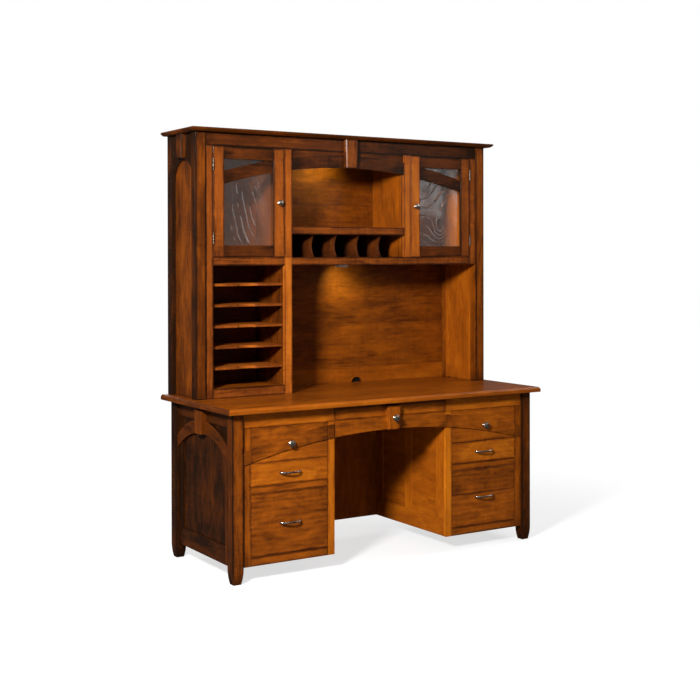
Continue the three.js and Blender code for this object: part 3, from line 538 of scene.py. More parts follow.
def ripple_group():
    """Waves of old glass.

    Fine ridges stand where the attribute streak_phase is a whole number, as strong as streak_share, and
    slow waves and a few round seeds lie over the whole pane.
    """
    s, _, out = shader_group("Glass ripples", [], [("Height", FLOAT), ("Ridge", FLOAT)])
    point = s.node("ShaderNodeTexCoord").outputs["Object"]
    phase = s.node("ShaderNodeAttribute", attribute_name="streak_phase").outputs["Fac"]
    share = s.node("ShaderNodeAttribute", attribute_name="streak_share").outputs["Fac"]
    phase = s.math("ADD", phase, s.math("MULTIPLY", s.noise(point, (9.0, 9.0, 5.0), 2.0), 1.6))
    ridge = s.math("POWER", s.math("ABSOLUTE", s.math("COSINE", s.math("MULTIPLY", phase, math.pi))), 40.0)
    broken = s.fade(s.noise(point, (24.0, 24.0, 10.0), 2.0), 0.34, 0.50)
    ridge = s.math("MULTIPLY", s.math("MULTIPLY", ridge, broken), share)
    slow = s.noise(point, (7.0, 7.0, 4.0), 2.0, 0.45, 0.6)
    seeds = s.node("ShaderNodeTexVoronoi", {"Vector": point, "Scale": 38.0}).outputs[0]
    bubble = s.fade(seeds, 0.05, 0.0)
    total = s.math("ADD", ridge, s.math("MULTIPLY", slow, 1.5))
    s.feed(out.inputs["Height"], s.math("ADD", total, s.math("MULTIPLY", bubble, 0.3)))
    s.feed(out.inputs["Ridge"], s.math("MAXIMUM", ridge, s.math("MULTIPLY", bubble, 0.5)))
    return s.tree


def material_sketch(name):
    """A new material as a sketch, with its Principled shader."""
    made = bpy.data.materials.new(name)
    made.use_nodes = True
    made.node_tree.nodes.clear()
    s = Sketch(made.node_tree)
    shader = s.node("ShaderNodeBsdfPrincipled")
    out = s.node("ShaderNodeOutputMaterial")
    s.feed(out.inputs["Surface"], shader.outputs[0])
    return made, s, shader


def bump(s, shader, height, distance):
    """Gives a shader its normal from a height, in metres."""
    node = s.node("ShaderNodeBump", {"Height": height, "Strength": 1.0, "Distance": distance})
    s.feed(shader.inputs["Normal"], node.outputs["Normal"])


def wood_material(name, stops, roughness, coat, figure):
    """A board's material: its place group feeds the maple group, whose shade picks a colour."""
    made, s, shader = material_sketch(name)
    board = s.node("ShaderNodeGroup", node_tree=bpy.data.node_groups["Board place"])
    maple = s.node("ShaderNodeGroup", node_tree=bpy.data.node_groups["Stained maple"])
    for label in ("Place", "Tone", "Edge", "End"):
        s.feed(maple.inputs[label], board.outputs[label])
    for label, value in figure.items():
        maple.inputs[label].default_value = value
    s.feed(shader.inputs["Base Color"], s.ramp(maple.outputs["Shade"], stops))
    rough = s.math("ADD", maple.outputs["Gloss"], roughness, clamp=True)
    s.feed(shader.inputs["Roughness"], rough)
    s.feed(shader.inputs["Coat Weight"], s.math("MULTIPLY_ADD", maple.outputs["Polish"], 0.35, coat))
    shader.inputs["Coat Roughness"].default_value = 0.16
    shader.inputs["Specular IOR Level"].default_value = 0.08
    shader.inputs["Specular Tint"].default_value = (1.0, 0.80, 0.60, 1.0)
    bump(s, shader, maple.outputs["Height"], 0.00012)
    return made


def metal_material(name, bright, dark, roughness):
    """Pewter between its dark patina, which along the middle of a bow pull is a painted reflection of the
    wood, and its rubbed metal.
    """
    made, s, shader = material_sketch(name)
    aged = s.node("ShaderNodeGroup", node_tree=bpy.data.node_groups["Aged pewter"])
    s.feed(shader.inputs["Base Color"], s.ramp(aged.outputs["Worn"], [(0.1, dark), (0.75, bright)]))
    shader.inputs["Metallic"].default_value = 1.0
    s.feed(shader.inputs["Roughness"], s.math("ADD", aged.outputs["Gloss"], roughness, clamp=True))
    bump(s, shader, aged.outputs["Height"], 0.00003)
    return made


def glass_material(name, tint):
    """Clear wavy glass that lets shadow rays through."""
    made, s, shader = material_sketch(name)
    ripples = s.node("ShaderNodeGroup", node_tree=bpy.data.node_groups["Glass ripples"])
    shader.inputs["Base Color"].default_value = tint
    s.feed(shader.inputs["Roughness"], s.math("MULTIPLY_ADD", ripples.outputs["Ridge"], 0.38, 0.09))
    shader.inputs["Transmission Weight"].default_value = 1.0
    shader.inputs["IOR"].default_value = 1.5
    path = s.node("ShaderNodeLightPath")
    s.feed(shader.inputs["Alpha"], s.math("MULTIPLY_ADD", path.outputs["Is Shadow Ray"], -0.9, 1.0))
    bump(s, shader, ripples.outputs["Height"], 0.0012)
    return made


def enamel_material(name, colour, roughness):
    """Painted metal with a faint orange-peel skin."""
    made, s, shader = material_sketch(name)
    point = s.node("ShaderNodeTexCoord").outputs["Object"]
    peel = s.noise(point, (900.0, 900.0, 900.0), 2.0)
    dust = s.noise(point, (60.0, 60.0, 60.0), 3.0, 0.6)
    darker = tuple(0.8 * part for part in colour[:3]) + (1.0,)
    s.feed(shader.inputs["Base Color"], s.ramp(dust, [(0.3, darker), (0.6, colour)]))
    s.feed(shader.inputs["Roughness"], s.math("MULTIPLY_ADD", dust, 0.2, roughness))
    bump(s, shader, peel, 0.00002)
    return made


def lens_material(name, colour, strength):
    """Frosted lens of a puck light, its glow brighter and dimmer in a fine frosted pattern."""
    made, s, shader = material_sketch(name)
    point = s.node("ShaderNodeTexCoord").outputs["Object"]
    frost = s.noise(point, (300.0, 300.0, 300.0), 2.0)
    dim = tuple(0.8 * part for part in colour[:3]) + (1.0,)
    s.feed(shader.inputs["Emission Color"], s.ramp(frost, [(0.2, dim), (0.7, colour)]))
    shader.inputs["Base Color"].default_value = (0.9, 0.88, 0.82, 1.0)
    shader.inputs["Emission Strength"].default_value = strength
    s.feed(shader.inputs["Roughness"], s.math("MULTIPLY_ADD", frost, 0.3, 0.3))
    return made


def shade_felt_material(name, colour):
    """Dark felt with a nap of short fibres."""
    made, s, shader = material_sketch(name)
    point = s.node("ShaderNodeTexCoord").outputs["Object"]
    nap = s.noise(point, (1800.0, 1800.0, 900.0), 3.0, 0.7)
    lint = tuple(2.5 * part for part in colour[:3]) + (1.0,)
    s.feed(shader.inputs["Base Color"], s.ramp(nap, [(0.35, colour), (0.8, lint)]))
    s.feed(shader.inputs["Roughness"], s.math("MULTIPLY_ADD", nap, 0.1, 0.85))
    shader.inputs["Specular IOR Level"].default_value = 0.02
    bump(s, shader, nap, 0.0003)
    return made


# Surfaces worked out with numpy

def grid_faces(rows, columns, wrap_rows, wrap_columns):
    """Quads between the neighbours of a grid of points, as an array of corner numbers."""
    r = np.arange(rows if wrap_rows else rows - 1)
    c = np.arange(columns if wrap_columns else columns - 1)
    r, c = (part.ravel() for part in np.meshgrid(r, c, indexing="ij"))
    r_next, c_next = (r + 1) % rows, (c + 1) % columns
    here, below = r * columns, r_next * columns
    return np.stack([here + c, here + c_next, below + c_next, below + c], 1)


def volume_of(points, quads):
    """Signed volume of a closed skin of quads, by its tetrahedra to the origin."""
    a, b, c, d = (points[quads[:, i]] for i in range(4))
    first = np.einsum("ij,ij->i", a, np.cross(b, c))
    second = np.einsum("ij,ij->i", a, np.cross(c, d))
    return (first.sum() + second.sum()) / 6


def closed_mesh(name, shells, materials):
    """A mesh of closed shells, each a grid of points with its quads, material numbers and patina shares,
    which along a bow pull's middle are a painted reflection.

    Corners at one place are merged, and a shell whose volume is negative is turned the right way out.
    """
    points, quads, slots, hollows, count = [], [], [], [], 0
    for shell_points, shell_quads, slot, hollow in shells:
        centre = shell_points.mean(0)
        if volume_of(shell_points - centre, shell_quads) < 0:
            shell_quads = shell_quads[:, ::-1]
        points.append(shell_points)
        quads.append(shell_quads + count)
        slots.append(np.broadcast_to(slot, len(shell_quads)))
        hollows.append(np.broadcast_to(hollow, len(shell_points)))
        count += len(shell_points)
    mesh = bpy.data.meshes.new(name)
    mesh.from_pydata(np.concatenate(points).tolist(), [], np.concatenate(quads).tolist())
    mesh.polygons.foreach_set("material_index", np.concatenate(slots).astype(np.int32))
    add_attribute(mesh, "hollow", "POINT", np.concatenate(hollows))
    for material in materials:
        mesh.materials.append(material)
    work = bmesh.new()
    work.from_mesh(mesh)
    bmesh.ops.remove_doubles(work, verts=work.verts, dist=1e-6)
    work.to_mesh(mesh)
    work.free()
    mesh.shade_smooth()
    return mesh


def smooth_line(points, steps):
    """A Catmull-Rom curve through points, with so many steps from each to the next."""
    points = np.asarray(points, float)
    padded = np.concatenate([points[:1], points, points[-1:]])
    p0, p1, p2, p3 = (padded[i:len(points) - 1 + i, None] for i in range(4))
    t = np.linspace(0, 1, steps, endpoint=False)[None, :, None]
    square = 2 * p0 - 5 * p1 + 4 * p2 - p3
    cube = 3 * p1 - p0 - 3 * p2 + p3
    curve = 0.5 * (2 * p1 + (p2 - p0) * t + square * t**2 + cube * t**3)
    return np.concatenate([curve.reshape(-1, points.shape[1]), points[-1:]])


def revolved(profile, centre, axis, sides):
    """A shell turned about an axis: the point at distance r from it and d along it goes round in a circle.

    P(r, d, a) is the centre, plus d along the axis, plus r times the cosine and sine of a across it.
    """
    axis = Vector(axis).normalized()
    across = axis.orthogonal().normalized()
    other = axis.cross(across)
    angle = np.linspace(0, 2 * math.pi, sides, endpoint=False)
    ring = np.cos(angle)[:, None] * np.array(across) + np.sin(angle)[:, None] * np.array(other)
    radius, along = np.maximum(profile[:, 0], 0), profile[:, 1]
    points = np.array(centre) + along[:, None, None] * np.array(axis) + radius[:, None, None] * ring[None]
    return points.reshape(-1, 3), grid_faces(len(profile), sides, False, True)


def capped(rings):
    """A shell over a row of rings, each end closed by a ring that shrinks to its middle."""
    ends = [np.repeat(rings[i].mean(0)[None], rings.shape[1], 0) for i in (0, -1)]
    whole = np.concatenate([ends[0][None], rings, ends[1][None]])
    return whole.reshape(-1, 3), grid_faces(len(whole), rings.shape[1], False, True)


def sheet_shell(face, depth):
    """A closed shell from a grid of points: the face, its copy moved by the depth, and their rim."""
    rear = face + np.array(depth)
    count = face.shape[0] * face.shape[1]
    numbers = np.arange(count).reshape(face.shape[:2])
    border = np.concatenate([numbers[:, 0], numbers[-1, 1:], numbers[-2::-1, -1], numbers[0, -2:0:-1]])
    quads = grid_faces(*face.shape[:2], False, False)
    rim = np.concatenate([border, border + count])[grid_faces(2, len(border), False, True)]
    points = np.concatenate([face.reshape(-1, 3), rear.reshape(-1, 3)])
    return points, np.concatenate([quads, quads[:, ::-1] + count, rim])


# Settings that a user would change

class DeskWood(bpy.types.PropertyGroup):
    """Stain and finish of the wood."""

    darkest: bpy.props.FloatVectorProperty(
        name="Darkest stain", description="Colour where the stain is rubbed in most", subtype="COLOR",
        size=4, min=0, max=1, default=(0.014, 0.0045, 0.0015, 1.0))
    dark: bpy.props.FloatVectorProperty(
        name="Dark stain", description="Colour of dark boards", subtype="COLOR",
        size=4, min=0, max=1, default=(0.078, 0.0175, 0.0020, 1.0))
    middle: bpy.props.FloatVectorProperty(
        name="Stain", description="Colour of most boards", subtype="COLOR",
        size=4, min=0, max=1, default=(0.262, 0.060, 0.0030, 1.0))
    light: bpy.props.FloatVectorProperty(
        name="Light stain", description="Colour of bright boards", subtype="COLOR",
        size=4, min=0, max=1, default=(0.53, 0.150, 0.0060, 1.0))
    roughness: bpy.props.FloatProperty(
        name="Roughness", description="Roughness of the lacquered wood", subtype="FACTOR",
        min=0, max=1, default=0.38)
    lacquer: bpy.props.FloatProperty(
        name="Lacquer", description="Weight of the clear lacquer", subtype="FACTOR",
        min=0, max=1, default=0.09)
    milk: bpy.props.FloatProperty(
        name="Milkiness", description="How milky the lacquer is on the hutch's face", subtype="FACTOR",
        min=0, max=0.3, default=0.014)
    arris: bpy.props.FloatProperty(
        name="Eased arris", description="Width of the rounding along arrises", subtype="DISTANCE",
        unit="LENGTH", min=0.0002, max=0.003, default=0.0012)
    box_colour: bpy.props.FloatVectorProperty(
        name="Drawer boxes", description="Colour of the clear maple of the drawer boxes", subtype="COLOR",
        size=4, min=0, max=1, default=(0.56, 0.36, 0.19, 1.0))


class DeskHardware(bpy.types.PropertyGroup):
    """Finish and fineness of the knobs, pulls and hinges."""

    metal: bpy.props.FloatVectorProperty(
        name="Pewter", description="Colour of the rubbed metal", subtype="COLOR",
        size=4, min=0, max=1, default=(0.52, 0.43, 0.35, 1.0))
    # The patina colour also paints the dark middle of each bow pull, a painted reflection of the wood
    patina: bpy.props.FloatVectorProperty(
        name="Patina", description="Colour of the metal in its hollows", subtype="COLOR",
        size=4, min=0, max=1, default=(0.034, 0.022, 0.015, 1.0))
    roughness: bpy.props.FloatProperty(
        name="Roughness", description="Roughness of the metal", subtype="FACTOR",
        min=0, max=1, default=0.12)
    sides: bpy.props.IntProperty(
        name="Sides", description="Faces round a knob", default=48, min=12, max=128)


class DeskGlass(bpy.types.PropertyGroup):
    """Panes of the doors."""

    tint: bpy.props.FloatVectorProperty(
        name="Tint", description="Colour of the glass", subtype="COLOR",
        size=4, min=0, max=1, default=(0.93, 0.95, 0.94, 1.0))
    wave: bpy.props.FloatProperty(
        name="Wave", description="Height of the slow waves in the pane", subtype="DISTANCE",
        unit="LENGTH", min=0, max=0.001, default=0.0004)


class DeskLamps(bpy.types.PropertyGroup):
    """Puck lights of the bays."""

    glow: bpy.props.FloatVectorProperty(
        name="Glow", description="Colour of the light", subtype="COLOR",
        size=4, min=0, max=1, default=(0.86, 1.0, 0.55, 1.0))
    lens_strength: bpy.props.FloatProperty(
        name="Lens strength", description="How strongly the lens shines", default=9.0, min=0, max=50)
    power: bpy.props.FloatProperty(
        name="Power", description="Power of the upper lamp's light", default=1.2, min=0, max=50, unit="POWER")
    enamel: bpy.props.FloatVectorProperty(
        name="Enamel", description="Colour of the lamp's housing", subtype="COLOR",
        size=4, min=0, max=1, default=(0.55, 0.54, 0.50, 1.0))


class DeskStage(bpy.types.PropertyGroup):
    """Floor, lights and camera."""

    key_power: bpy.props.FloatProperty(
        name="Key light", description="Power of the main light", default=290.0, min=0, unit="POWER")
    fill_power: bpy.props.FloatProperty(
        name="Fill light", description="Power of the broad light in front", default=22.0, min=0, unit="POWER")
    mirror_power: bpy.props.FloatProperty(
        name="Side light", description="Power of the strips of light that show in the glass", unit="POWER",
        min=0, default=3.6)
    round_power: bpy.props.FloatProperty(
        name="Rear lights", description="Power of each light behind and on the right", unit="POWER",
        min=0, default=90.0)
    sky: bpy.props.FloatProperty(
        name="Ambient", description="Strength of the light from all round", default=0.10, min=0, max=2)
    lens: bpy.props.FloatProperty(
        name="Lens", description="Focal length of the camera", default=61.9, min=10, max=300,
        subtype="DISTANCE_CAMERA")


# Operators, one for each family of pieces

class DESK_OT_materials(bpy.types.Operator):
    """Makes the shader groups and the materials"""

    bl_idname = "desk.materials"
    bl_label = "Make the materials"

    def execute(self, context):
        wood = context.scene.desk_wood
        hardware = context.scene.desk_hardware
        board_group()
        maple_group()
        metal_group()
        ripple_group()
        stain = [
            (0.0, wood.darkest),
            (0.24, wood.dark),
            (0.55, wood.middle),
            (0.92, wood.light),
            (1.0, [min(1.0, 1.25 * part) for part in wood.light]),
        ]
        figures = {
            "stained_maple": {},
            "stained_panel": {
                "Rings": 0.02, "Clouds": 0.45, "Fibre": 0.08, "Grain": 0.08, "Streaks": 0.08, "Rubbed": 0.05,
            },
            "flat_sawn_maple": {
                "Rings": 0.06, "Clouds": 0.62, "Blotches": 0.34, "Curl": 0.18, "Streaks": 0.03,
                "Rubbed": 0.20, "Swirl": 1.6,
            },
        }
        for name, figure in figures.items():
            wood_material(name, stain, wood.roughness, wood.lacquer, figure)
        polished = {
            "Rings": 0.02, "Clouds": 0.45, "Fibre": 0.10, "Grain": 0.10, "Streaks": 0.06, "Rubbed": 0.05,
        }
        wood_material("polished_maple", stain, wood.roughness - 0.04, 0.18, polished)
        milky = []
        for place, (red, green, blue, _) in stain:
            milky.append((place, (red, green + 0.3 * wood.milk * red, blue + wood.milk * red, 1.0)))
        curly = {"Curl": 0.26, "Clouds": 0.45, "Streaks": 0.10}
        wood_material("curly_maple", milky, wood.roughness, wood.lacquer, curly)
        clear = [
            (0.0, [0.55 * part for part in wood.box_colour[:3]] + [1.0]),
            (0.6, wood.box_colour),
            (1.0, [min(1.0, 1.2 * part) for part in wood.box_colour]),
        ]
        wood_material("clear_maple", clear, 0.42, 0.15, {"Rubbed": 0.05, "Streaks": 0.10})
        metal_material("aged_pewter", hardware.metal, hardware.patina, hardware.roughness)
        glass_material("wavy_glass", context.scene.desk_glass.tint)
        lamps = context.scene.desk_lamps
        enamel_material("lamp_enamel", lamps.enamel, 0.3)
        lens_material("lamp_lens", lamps.glow, lamps.lens_strength)
        # The near-black felt is painted shade: it stands in the cable notch where only dark shows through
        shade_felt_material("dark_felt", (0.005, 0.004, 0.004, 1.0))
        return {"FINISHED"}


def glued_up(low_edge, high_edge, count, axis, grain, tones):
    """Cuts and boards of a panel that is glued up from boards side by side."""
    edges = np.linspace(low_edge, high_edge, count + 1)
    cuts = [(axis, float(edge)) for edge in edges[1:-1]]
    boards = []
    for i in range(count):
        start = edges[i] if i else -math.inf
        stop = edges[i + 1] if i + 1 < count else math.inf
        where = lambda f, start=start, stop=stop: within(getattr(f, axis.lower()), start, stop)
        boards.append((where, grain, tones[i % len(tones)]))
    return cuts, boards


def dress_all(context, table):
    """Dresses each node of a table of node, material, cuts and boards."""
    width = context.scene.desk_wood.arris
    for node, material, cuts, boards in table:
        dress(node, cuts, boards, bpy.data.materials[material], width)


class DESK_OT_case(bpy.types.Operator):
    """Dresses the desk's top, posts, ends, face frames and kneehole sides"""

    bl_idname = "desk.case"
    bl_label = "Dress the case"

    def execute(self, context):
        top_low, top_high = low("desk_top", "Y"), high("desk_top", "Y")
        top = glued_up(top_low, top_high, 5, "Y", "X", [-0.04, -0.16, -0.10, -0.20, -0.14])
        # The front edge of the top is lighter: a painted highlight along its eased edge
        top[1].append((lambda f: f.y < top_low + TOP_EDGE, "X", 0.12))
        # The side edges of the top are darker: painted shade, as on the ends
        top[1].append((lambda f: f.across > high("desk_top", "X") - TOP_EDGE, "Y", -0.60))
        back = glued_up(-CASE_HALF, CASE_HALF, 4, "X", "Z", [0.0, -0.10, -0.04, -0.14])
        # The posts' outer sides are darker than their fronts: partly stain, partly painted shade
        outer_side = lambda f: f.sideways & (f.across > CASE_HALF - POST_SIDE_REACH)
        table = [
            ("desk_top", "polished_maple", *top),
            ("base_back", "stained_panel", *back),
            ("centre_rail", "stained_maple", [], [(everywhere, "X", -0.1)]),
            ("post_front_left", "stained_maple", [], [(everywhere, "Z", -0.50), (outer_side, "Z", -0.80)]),
            ("post_front_right", "stained_maple", [], [(everywhere, "Z", -0.75), (outer_side, "Z", -1.0)]),
            ("post_rear_left", "stained_maple", [], [(everywhere, "Z", -1.1)]),
            ("post_rear_right", "stained_maple", [], [(everywhere, "Z", -0.8)]),
        ]
        for side in ("left", "right"):
            table.append((f"end_panel_{side}", "stained_panel", *self.end_boards(side)))
            table.append((f"face_frame_{side}", "stained_maple", *self.frame_boards(side)))
            table.append((f"inner_side_{side}", "stained_panel", *self.side_boards(side)))
        dress_all(context, table)
        return {"FINISHED"}

    def end_boards(self, side):
        """Boards of a framed end: stiles, rails, sunk field, spandrels, arched band and keystone."""
        front = low(f"end_panel_{side}", "Y")
        rear = high(f"end_panel_{side}", "Y")
        middle = (front + rear) / 2
        rail_low = CASE_TOP - END_TOP_RAIL
        rail_high = CASE_LOW + END_BOTTOM_RAIL
        field = END_FACE - END_RECESS
        cuts = [("Y", front + END_STILE), ("Y", rear - END_STILE), ("Z", rail_high), ("Z", rail_low)]
        on_face = lambda f: within(f.across, END_FACE - HAIR, END_FACE + HAIR)
        on_field = lambda f: within(f.across, field - HAIR, field + HAIR)
        stiles = lambda f: (f.y < front + END_STILE) | (f.y > rear - END_STILE)
        proud = lambda f: f.across > END_FACE + KEYSTONE_OUT
        keystone = lambda f: proud(f) & (np.abs(f.y - middle) < KEYSTONE_HALF)
        # The ends' dark tones are partly the stain and partly painted shade; the field's head and the recess
        # walls are painted shade
        boards = [
            (everywhere, "Y", -0.2),
            (lambda f: f.across > field - HAIR, "Y", -0.72),
            (on_field, "Z", -1.05),
            # Painted shade: the head of the field under the arch
            (lambda f: on_field(f) & (f.z > END_FIELD_HEAD), "Z", -1.10),
            (lambda f: on_face(f) & stiles(f), "Z", -0.80),
            (lambda f: on_face(f) & (f.z < rail_high) & ~stiles(f), "Y", -1.00),
            (lambda f: on_face(f) & (f.z > rail_low), "Y", -0.85),
            (keystone, "Z", -0.42),
            # Painted shade: the walls of the sunk field's recess
            (lambda f: within(f.across, field + HAIR, END_FACE - HAIR) & ~f.sideways, "Z", -1.2),
            (lambda f: on_face(f) & (f.y > rear - END_STILE), "Z", -1.1),
        ]
        return cuts, boards

    def frame_boards(self, side):
        """Boards of a pedestal's face frame: stiles, rails, wedge rail and the blocks of the band."""
        left = side == "left"
        cuts = mirrored("X", OPEN_INNER, OPEN_OUTER) + [("Z", TOP_OPEN - DRAWER_GAP)]
        between = lambda f: within(f.across, OPEN_INNER + HAIR, OPEN_OUTER - HAIR)
        boards = [
            (lambda f: f.across < OPEN_INNER + HAIR, "Z", 0.50 if left else 0.75),
            (lambda f: f.across > OPEN_OUTER - HAIR, "Z", -0.15 if left else -0.05),
            (lambda f: between(f) & (f.z < FILE_LOW + HAIR), "X", 0.0),
            (lambda f: between(f) & within(f.z, FILE_TOP - HAIR, WEDGE_LOW - MIDDLE_OPEN_HALF), "X", 0.12),
            (lambda f: between(f) & (f.z > WEDGE_LOW - HAIR), "X", 0.10),
            (lambda f: f.z > TOP_OPEN - HAIR, "X", 0.25 if left else 0.40),
            (lambda f: f.y < FACE_Y - HAIR, "X", -0.25 if left else -0.15),
        ]
        return cuts, boards

    def side_boards(self, side):
        """Boards of a kneehole side: a frame with two sunk panels, and the plain work behind it."""
        node = f"inner_side_{side}"
        front, rear = low(node, "Y"), high(node, "Y")
        rail_low = CASE_TOP - SIDE_TOP_RAIL
        rail_high = CASE_LOW + SIDE_BOTTOM_RAIL
        front_panel_end = (front + rear) / 2 - SIDE_MIDDLE_REACH
        rear_panel_start = (front + rear) / 2 + SIDE_MIDDLE_REACH
        shown = lambda f: f.across < KNEE_HALF + HAIR
        cuts = [("Z", rail_low), ("Z", rail_high)]
        boards = [
            (everywhere, "Y", 0.0),
            (lambda f: within(f.across, KNEE_HALF + HAIR, KNEE_HALF + SIDE_RECESS + HAIR), "Y", 0.16),
            (lambda f: shown(f) & (f.y < front_panel_end), "Z", 0.30),
            (lambda f: shown(f) & (f.y > rear_panel_start), "Z", 0.15),
            (lambda f: shown(f) & within(f.y, front_panel_end, rear_panel_start), "Z", 0.38),
            (lambda f: shown(f) & (f.z > rail_low - HAIR), "Y", 0.20),
            (lambda f: shown(f) & (f.z < rail_high + HAIR), "Y", 0.25),
        ]
        return cuts, boards


class DESK_OT_drawers(bpy.types.Operator):
    """Dresses the seven drawer fronts and their boxes"""

    bl_idname = "desk.drawers"
    bl_label = "Dress the drawers"

    def execute(self, context):
        tones = {
            "top_left": -0.15, "middle_left": 0.38, "file_left": -0.14,
            "top_right": 0.14, "middle_right": 0.36, "file_right": 0.08,
        }
        table = []
        for key, tone in tones.items():
            node = f"drawer_front_{key}"
            cuts = []
            boards = [(everywhere, "X", tone)]
            if key == "file_right":
                seam = (low(node, "Z") + high(node, "Z")) / 2 + FILE_SEAM_UP
                cuts.append(("Z", seam))
                boards.append((lambda f, seam=seam: f.z > seam, "X", tone - 0.22))
            if key.startswith("top"):
                boards.append((lambda f: f.y < FACE_Y - HAIR, "X", tone - 0.10))
            table.append((node, "flat_sawn_maple", cuts, boards))
        strip_low = CASE_TOP - STRIP_HIGH
        boards = [
            (everywhere, "X", -0.15),
            (lambda f: within(f.y, FACE_Y + HAIR, FACE_Y + SUNK_FIELD_DEEP), "X", 0.30),
            (lambda f: f.z > strip_low - HAIR, "X", 0.05),
            (lambda f: f.y < FACE_Y - HAIR, "X", -0.05),
            (lambda f: (f.across < KEYSTONE_HALF) & (f.y < FACE_Y - KEYSTONE_OUT), "Z", 0.15),
        ]
        table.append(("drawer_front_centre", "flat_sawn_maple", [], boards))
        dress_all(context, table)
        boxes = [self.box_boards(f"drawer_box_{key}") for key in (*tones, "centre")]
        dress_all(context, boxes)
        return {"FINISHED"}

    def box_boards(self, node):
        """Boards of a drawer box: sides, front and rear walls, and its bottom."""
        front, rear, bottom = low(node, "Y"), high(node, "Y"), low(node, "Z")
        cuts = [("Y", front + BOX_WALL), ("Y", rear - BOX_WALL)]
        ends = lambda f: (f.y < front + BOX_WALL + HAIR) | (f.y > rear - BOX_WALL - HAIR)
        flat = lambda f: f.level & (f.z < bottom + BOX_WALL)
        boards = [(everywhere, "Y", 0.1), (ends, "X", 0.0), (flat, "X", 0.2)]
        return node, "clear_maple", cuts, boards


class DESK_OT_hutch(bpy.types.Operator):
    """Dresses the hutch's crown, ends, back, face frame, partitions, shelves and letter trays"""

    bl_idname = "desk.hutch"
    bl_label = "Dress the hutch"

    def execute(self, context):
        back_low, back_high = low("hutch_back", "Z"), high("hutch_back", "Z")
        back_cuts, back_boards = glued_up(back_low, back_high, 4, "Z", "X", [-0.30, -0.42, -0.34, -0.38])
        rail_face = low("hutch_back", "Y") + HAIR
        back_boards.append((lambda f: f.y < rail_face, "X", 0.05))
        floor = lambda f: (f.x < -DOOR_INNER - HAIR) & (f.z < DESK_HIGH + BAY_RAIL + HAIR)
        # The left face of the left partition is darker: painted shade inside the cupboard and the slots
        painted_shade_face = lambda f: f.x < -DOOR_INNER + HAIR
        partition = [(everywhere, "Z", 0.05), (painted_shade_face, "Z", -0.50), (floor, "X", -0.1)]
        crown = glued_up(low("crown", "Y"), high("crown", "Y"), 3, "Y", "X", [-0.70, -0.45, -0.55])
        shelf = glued_up(low("main_shelf", "Y"), high("main_shelf", "Y"), 2, "Y", "X", [-0.05, 0.0])
        table = [
            ("crown", "stained_panel", *crown),
            ("hutch_back", "stained_panel", back_cuts, back_boards),
            ("hutch_face_frame", "curly_maple", *self.frame_boards()),
            ("partition_left", "stained_maple", [], partition),
            ("partition_right", "stained_maple", [], [(everywhere, "Z", -0.05)]),
            ("main_shelf", "stained_maple", *shelf),
            ("pigeonholes", "curly_maple", *self.pigeonhole_boards()),
        ]
        for number in range(1, 6):
            tone = 0.28 if number % 2 else 0.14
            table.append((f"letter_tray_{number}", "curly_maple", [], [(everywhere, "X", tone)]))
        for side in ("left", "right"):
            table.append((f"hutch_side_{side}", "stained_maple", *self.side_boards(side)))
        dress_all(context, table)
        return {"FINISHED"}

    def side_boards(self, side):
        """Boards of a hutch end: two posts, the panel, the spandrels of its arched head and the keystone."""
        field = HUTCH_HALF - HUTCH_FIELD_SET_BACK
        skin = HUTCH_HALF - HUTCH_SKIN
        posts = lambda f: (f.y < HUTCH_FRONT + HUTCH_POST - HAIR) | (f.y > HUTCH_REAR - HUTCH_POST + HAIR)
        # The hutch ends' dark tones are partly the stain and partly painted shade: the spandrels and walls
        # round the arched head, the posts' sides and the left end's posts
        boards = [
            (everywhere, "Z", 0.20),
            (lambda f: within(f.across, field - HAIR, field + HAIR), "Z", -0.50),
            (lambda f: within(f.across, field + HAIR, skin), "Z", -1.3),
            (lambda f: f.across > skin, "Z", -0.55),
            (posts, "Z", -0.55 if side == "left" else -0.30),
            (lambda f: posts(f) & f.sideways & (f.across > field), "Z", -1.05),
            (lambda f: f.across > HUTCH_HALF + HAIR, "Z", -0.85),
        ]
        return [], boards

    def frame_boards(self):
        """Boards of the hutch's face frame: stiles, rails, valance, arched band and keystone."""
        stile_low = HUTCH_HALF - HUTCH_POST - HUTCH_STILE
        cuts = mirrored("X", BAY_HALF, DOOR_INNER, stile_low)
        cuts += [("Z", RAIL_LOW), ("Z", SHELF_TOP), ("Z", MAIN_RAIL_LOW), ("Z", DESK_HIGH + BAY_RAIL)]
        band_y = HUTCH_FACE + VALANCE_BAND_BACK
        key_y = HUTCH_FACE - VALANCE_KEY_OUT
        outer = lambda f: f.across > stile_low - HAIR
        post = lambda f: within(f.across, BAY_HALF - HAIR, DOOR_INNER + HAIR)
        left, right = (lambda f: f.x < 0), (lambda f: f.x > 0)
        in_bay = lambda f: f.across < BAY_HALF - HAIR
        boards = [
            (everywhere, "X", -0.2),
            (lambda f: within(f.z, MAIN_RAIL_LOW - HAIR, SHELF_TOP + HAIR), "X", -0.32),
            (lambda f: f.z < DESK_HIGH + BAY_RAIL + HAIR, "X", -0.35),
            (lambda f: outer(f) & left(f), "Z", -0.28),
            (lambda f: outer(f) & right(f), "Z", -0.05),
            (lambda f: post(f) & left(f), "Z", 0.55),
            (lambda f: post(f) & left(f) & (f.z > SHELF_TOP), "Z", 0.12),
            (lambda f: post(f) & right(f) & (f.z > SHELF_TOP), "Z", 0.28),
            (lambda f: f.z > RAIL_LOW - HAIR, "X", -0.72),
            (lambda f: (f.z > RAIL_LOW - HAIR) & right(f), "X", -0.95),
            (lambda f: in_bay(f) & within(f.z, SHELF_TOP + VALANCE_ABOVE, RAIL_LOW - HAIR), "X", -0.70),
            (lambda f: in_bay(f) & within(f.y, band_y - HAIR, band_y + HAIR), "X", -0.95),
            (lambda f: (f.across < KEYSTONE_HALF) & (f.y < key_y), "Z", -0.28),
        ]
        return cuts, boards

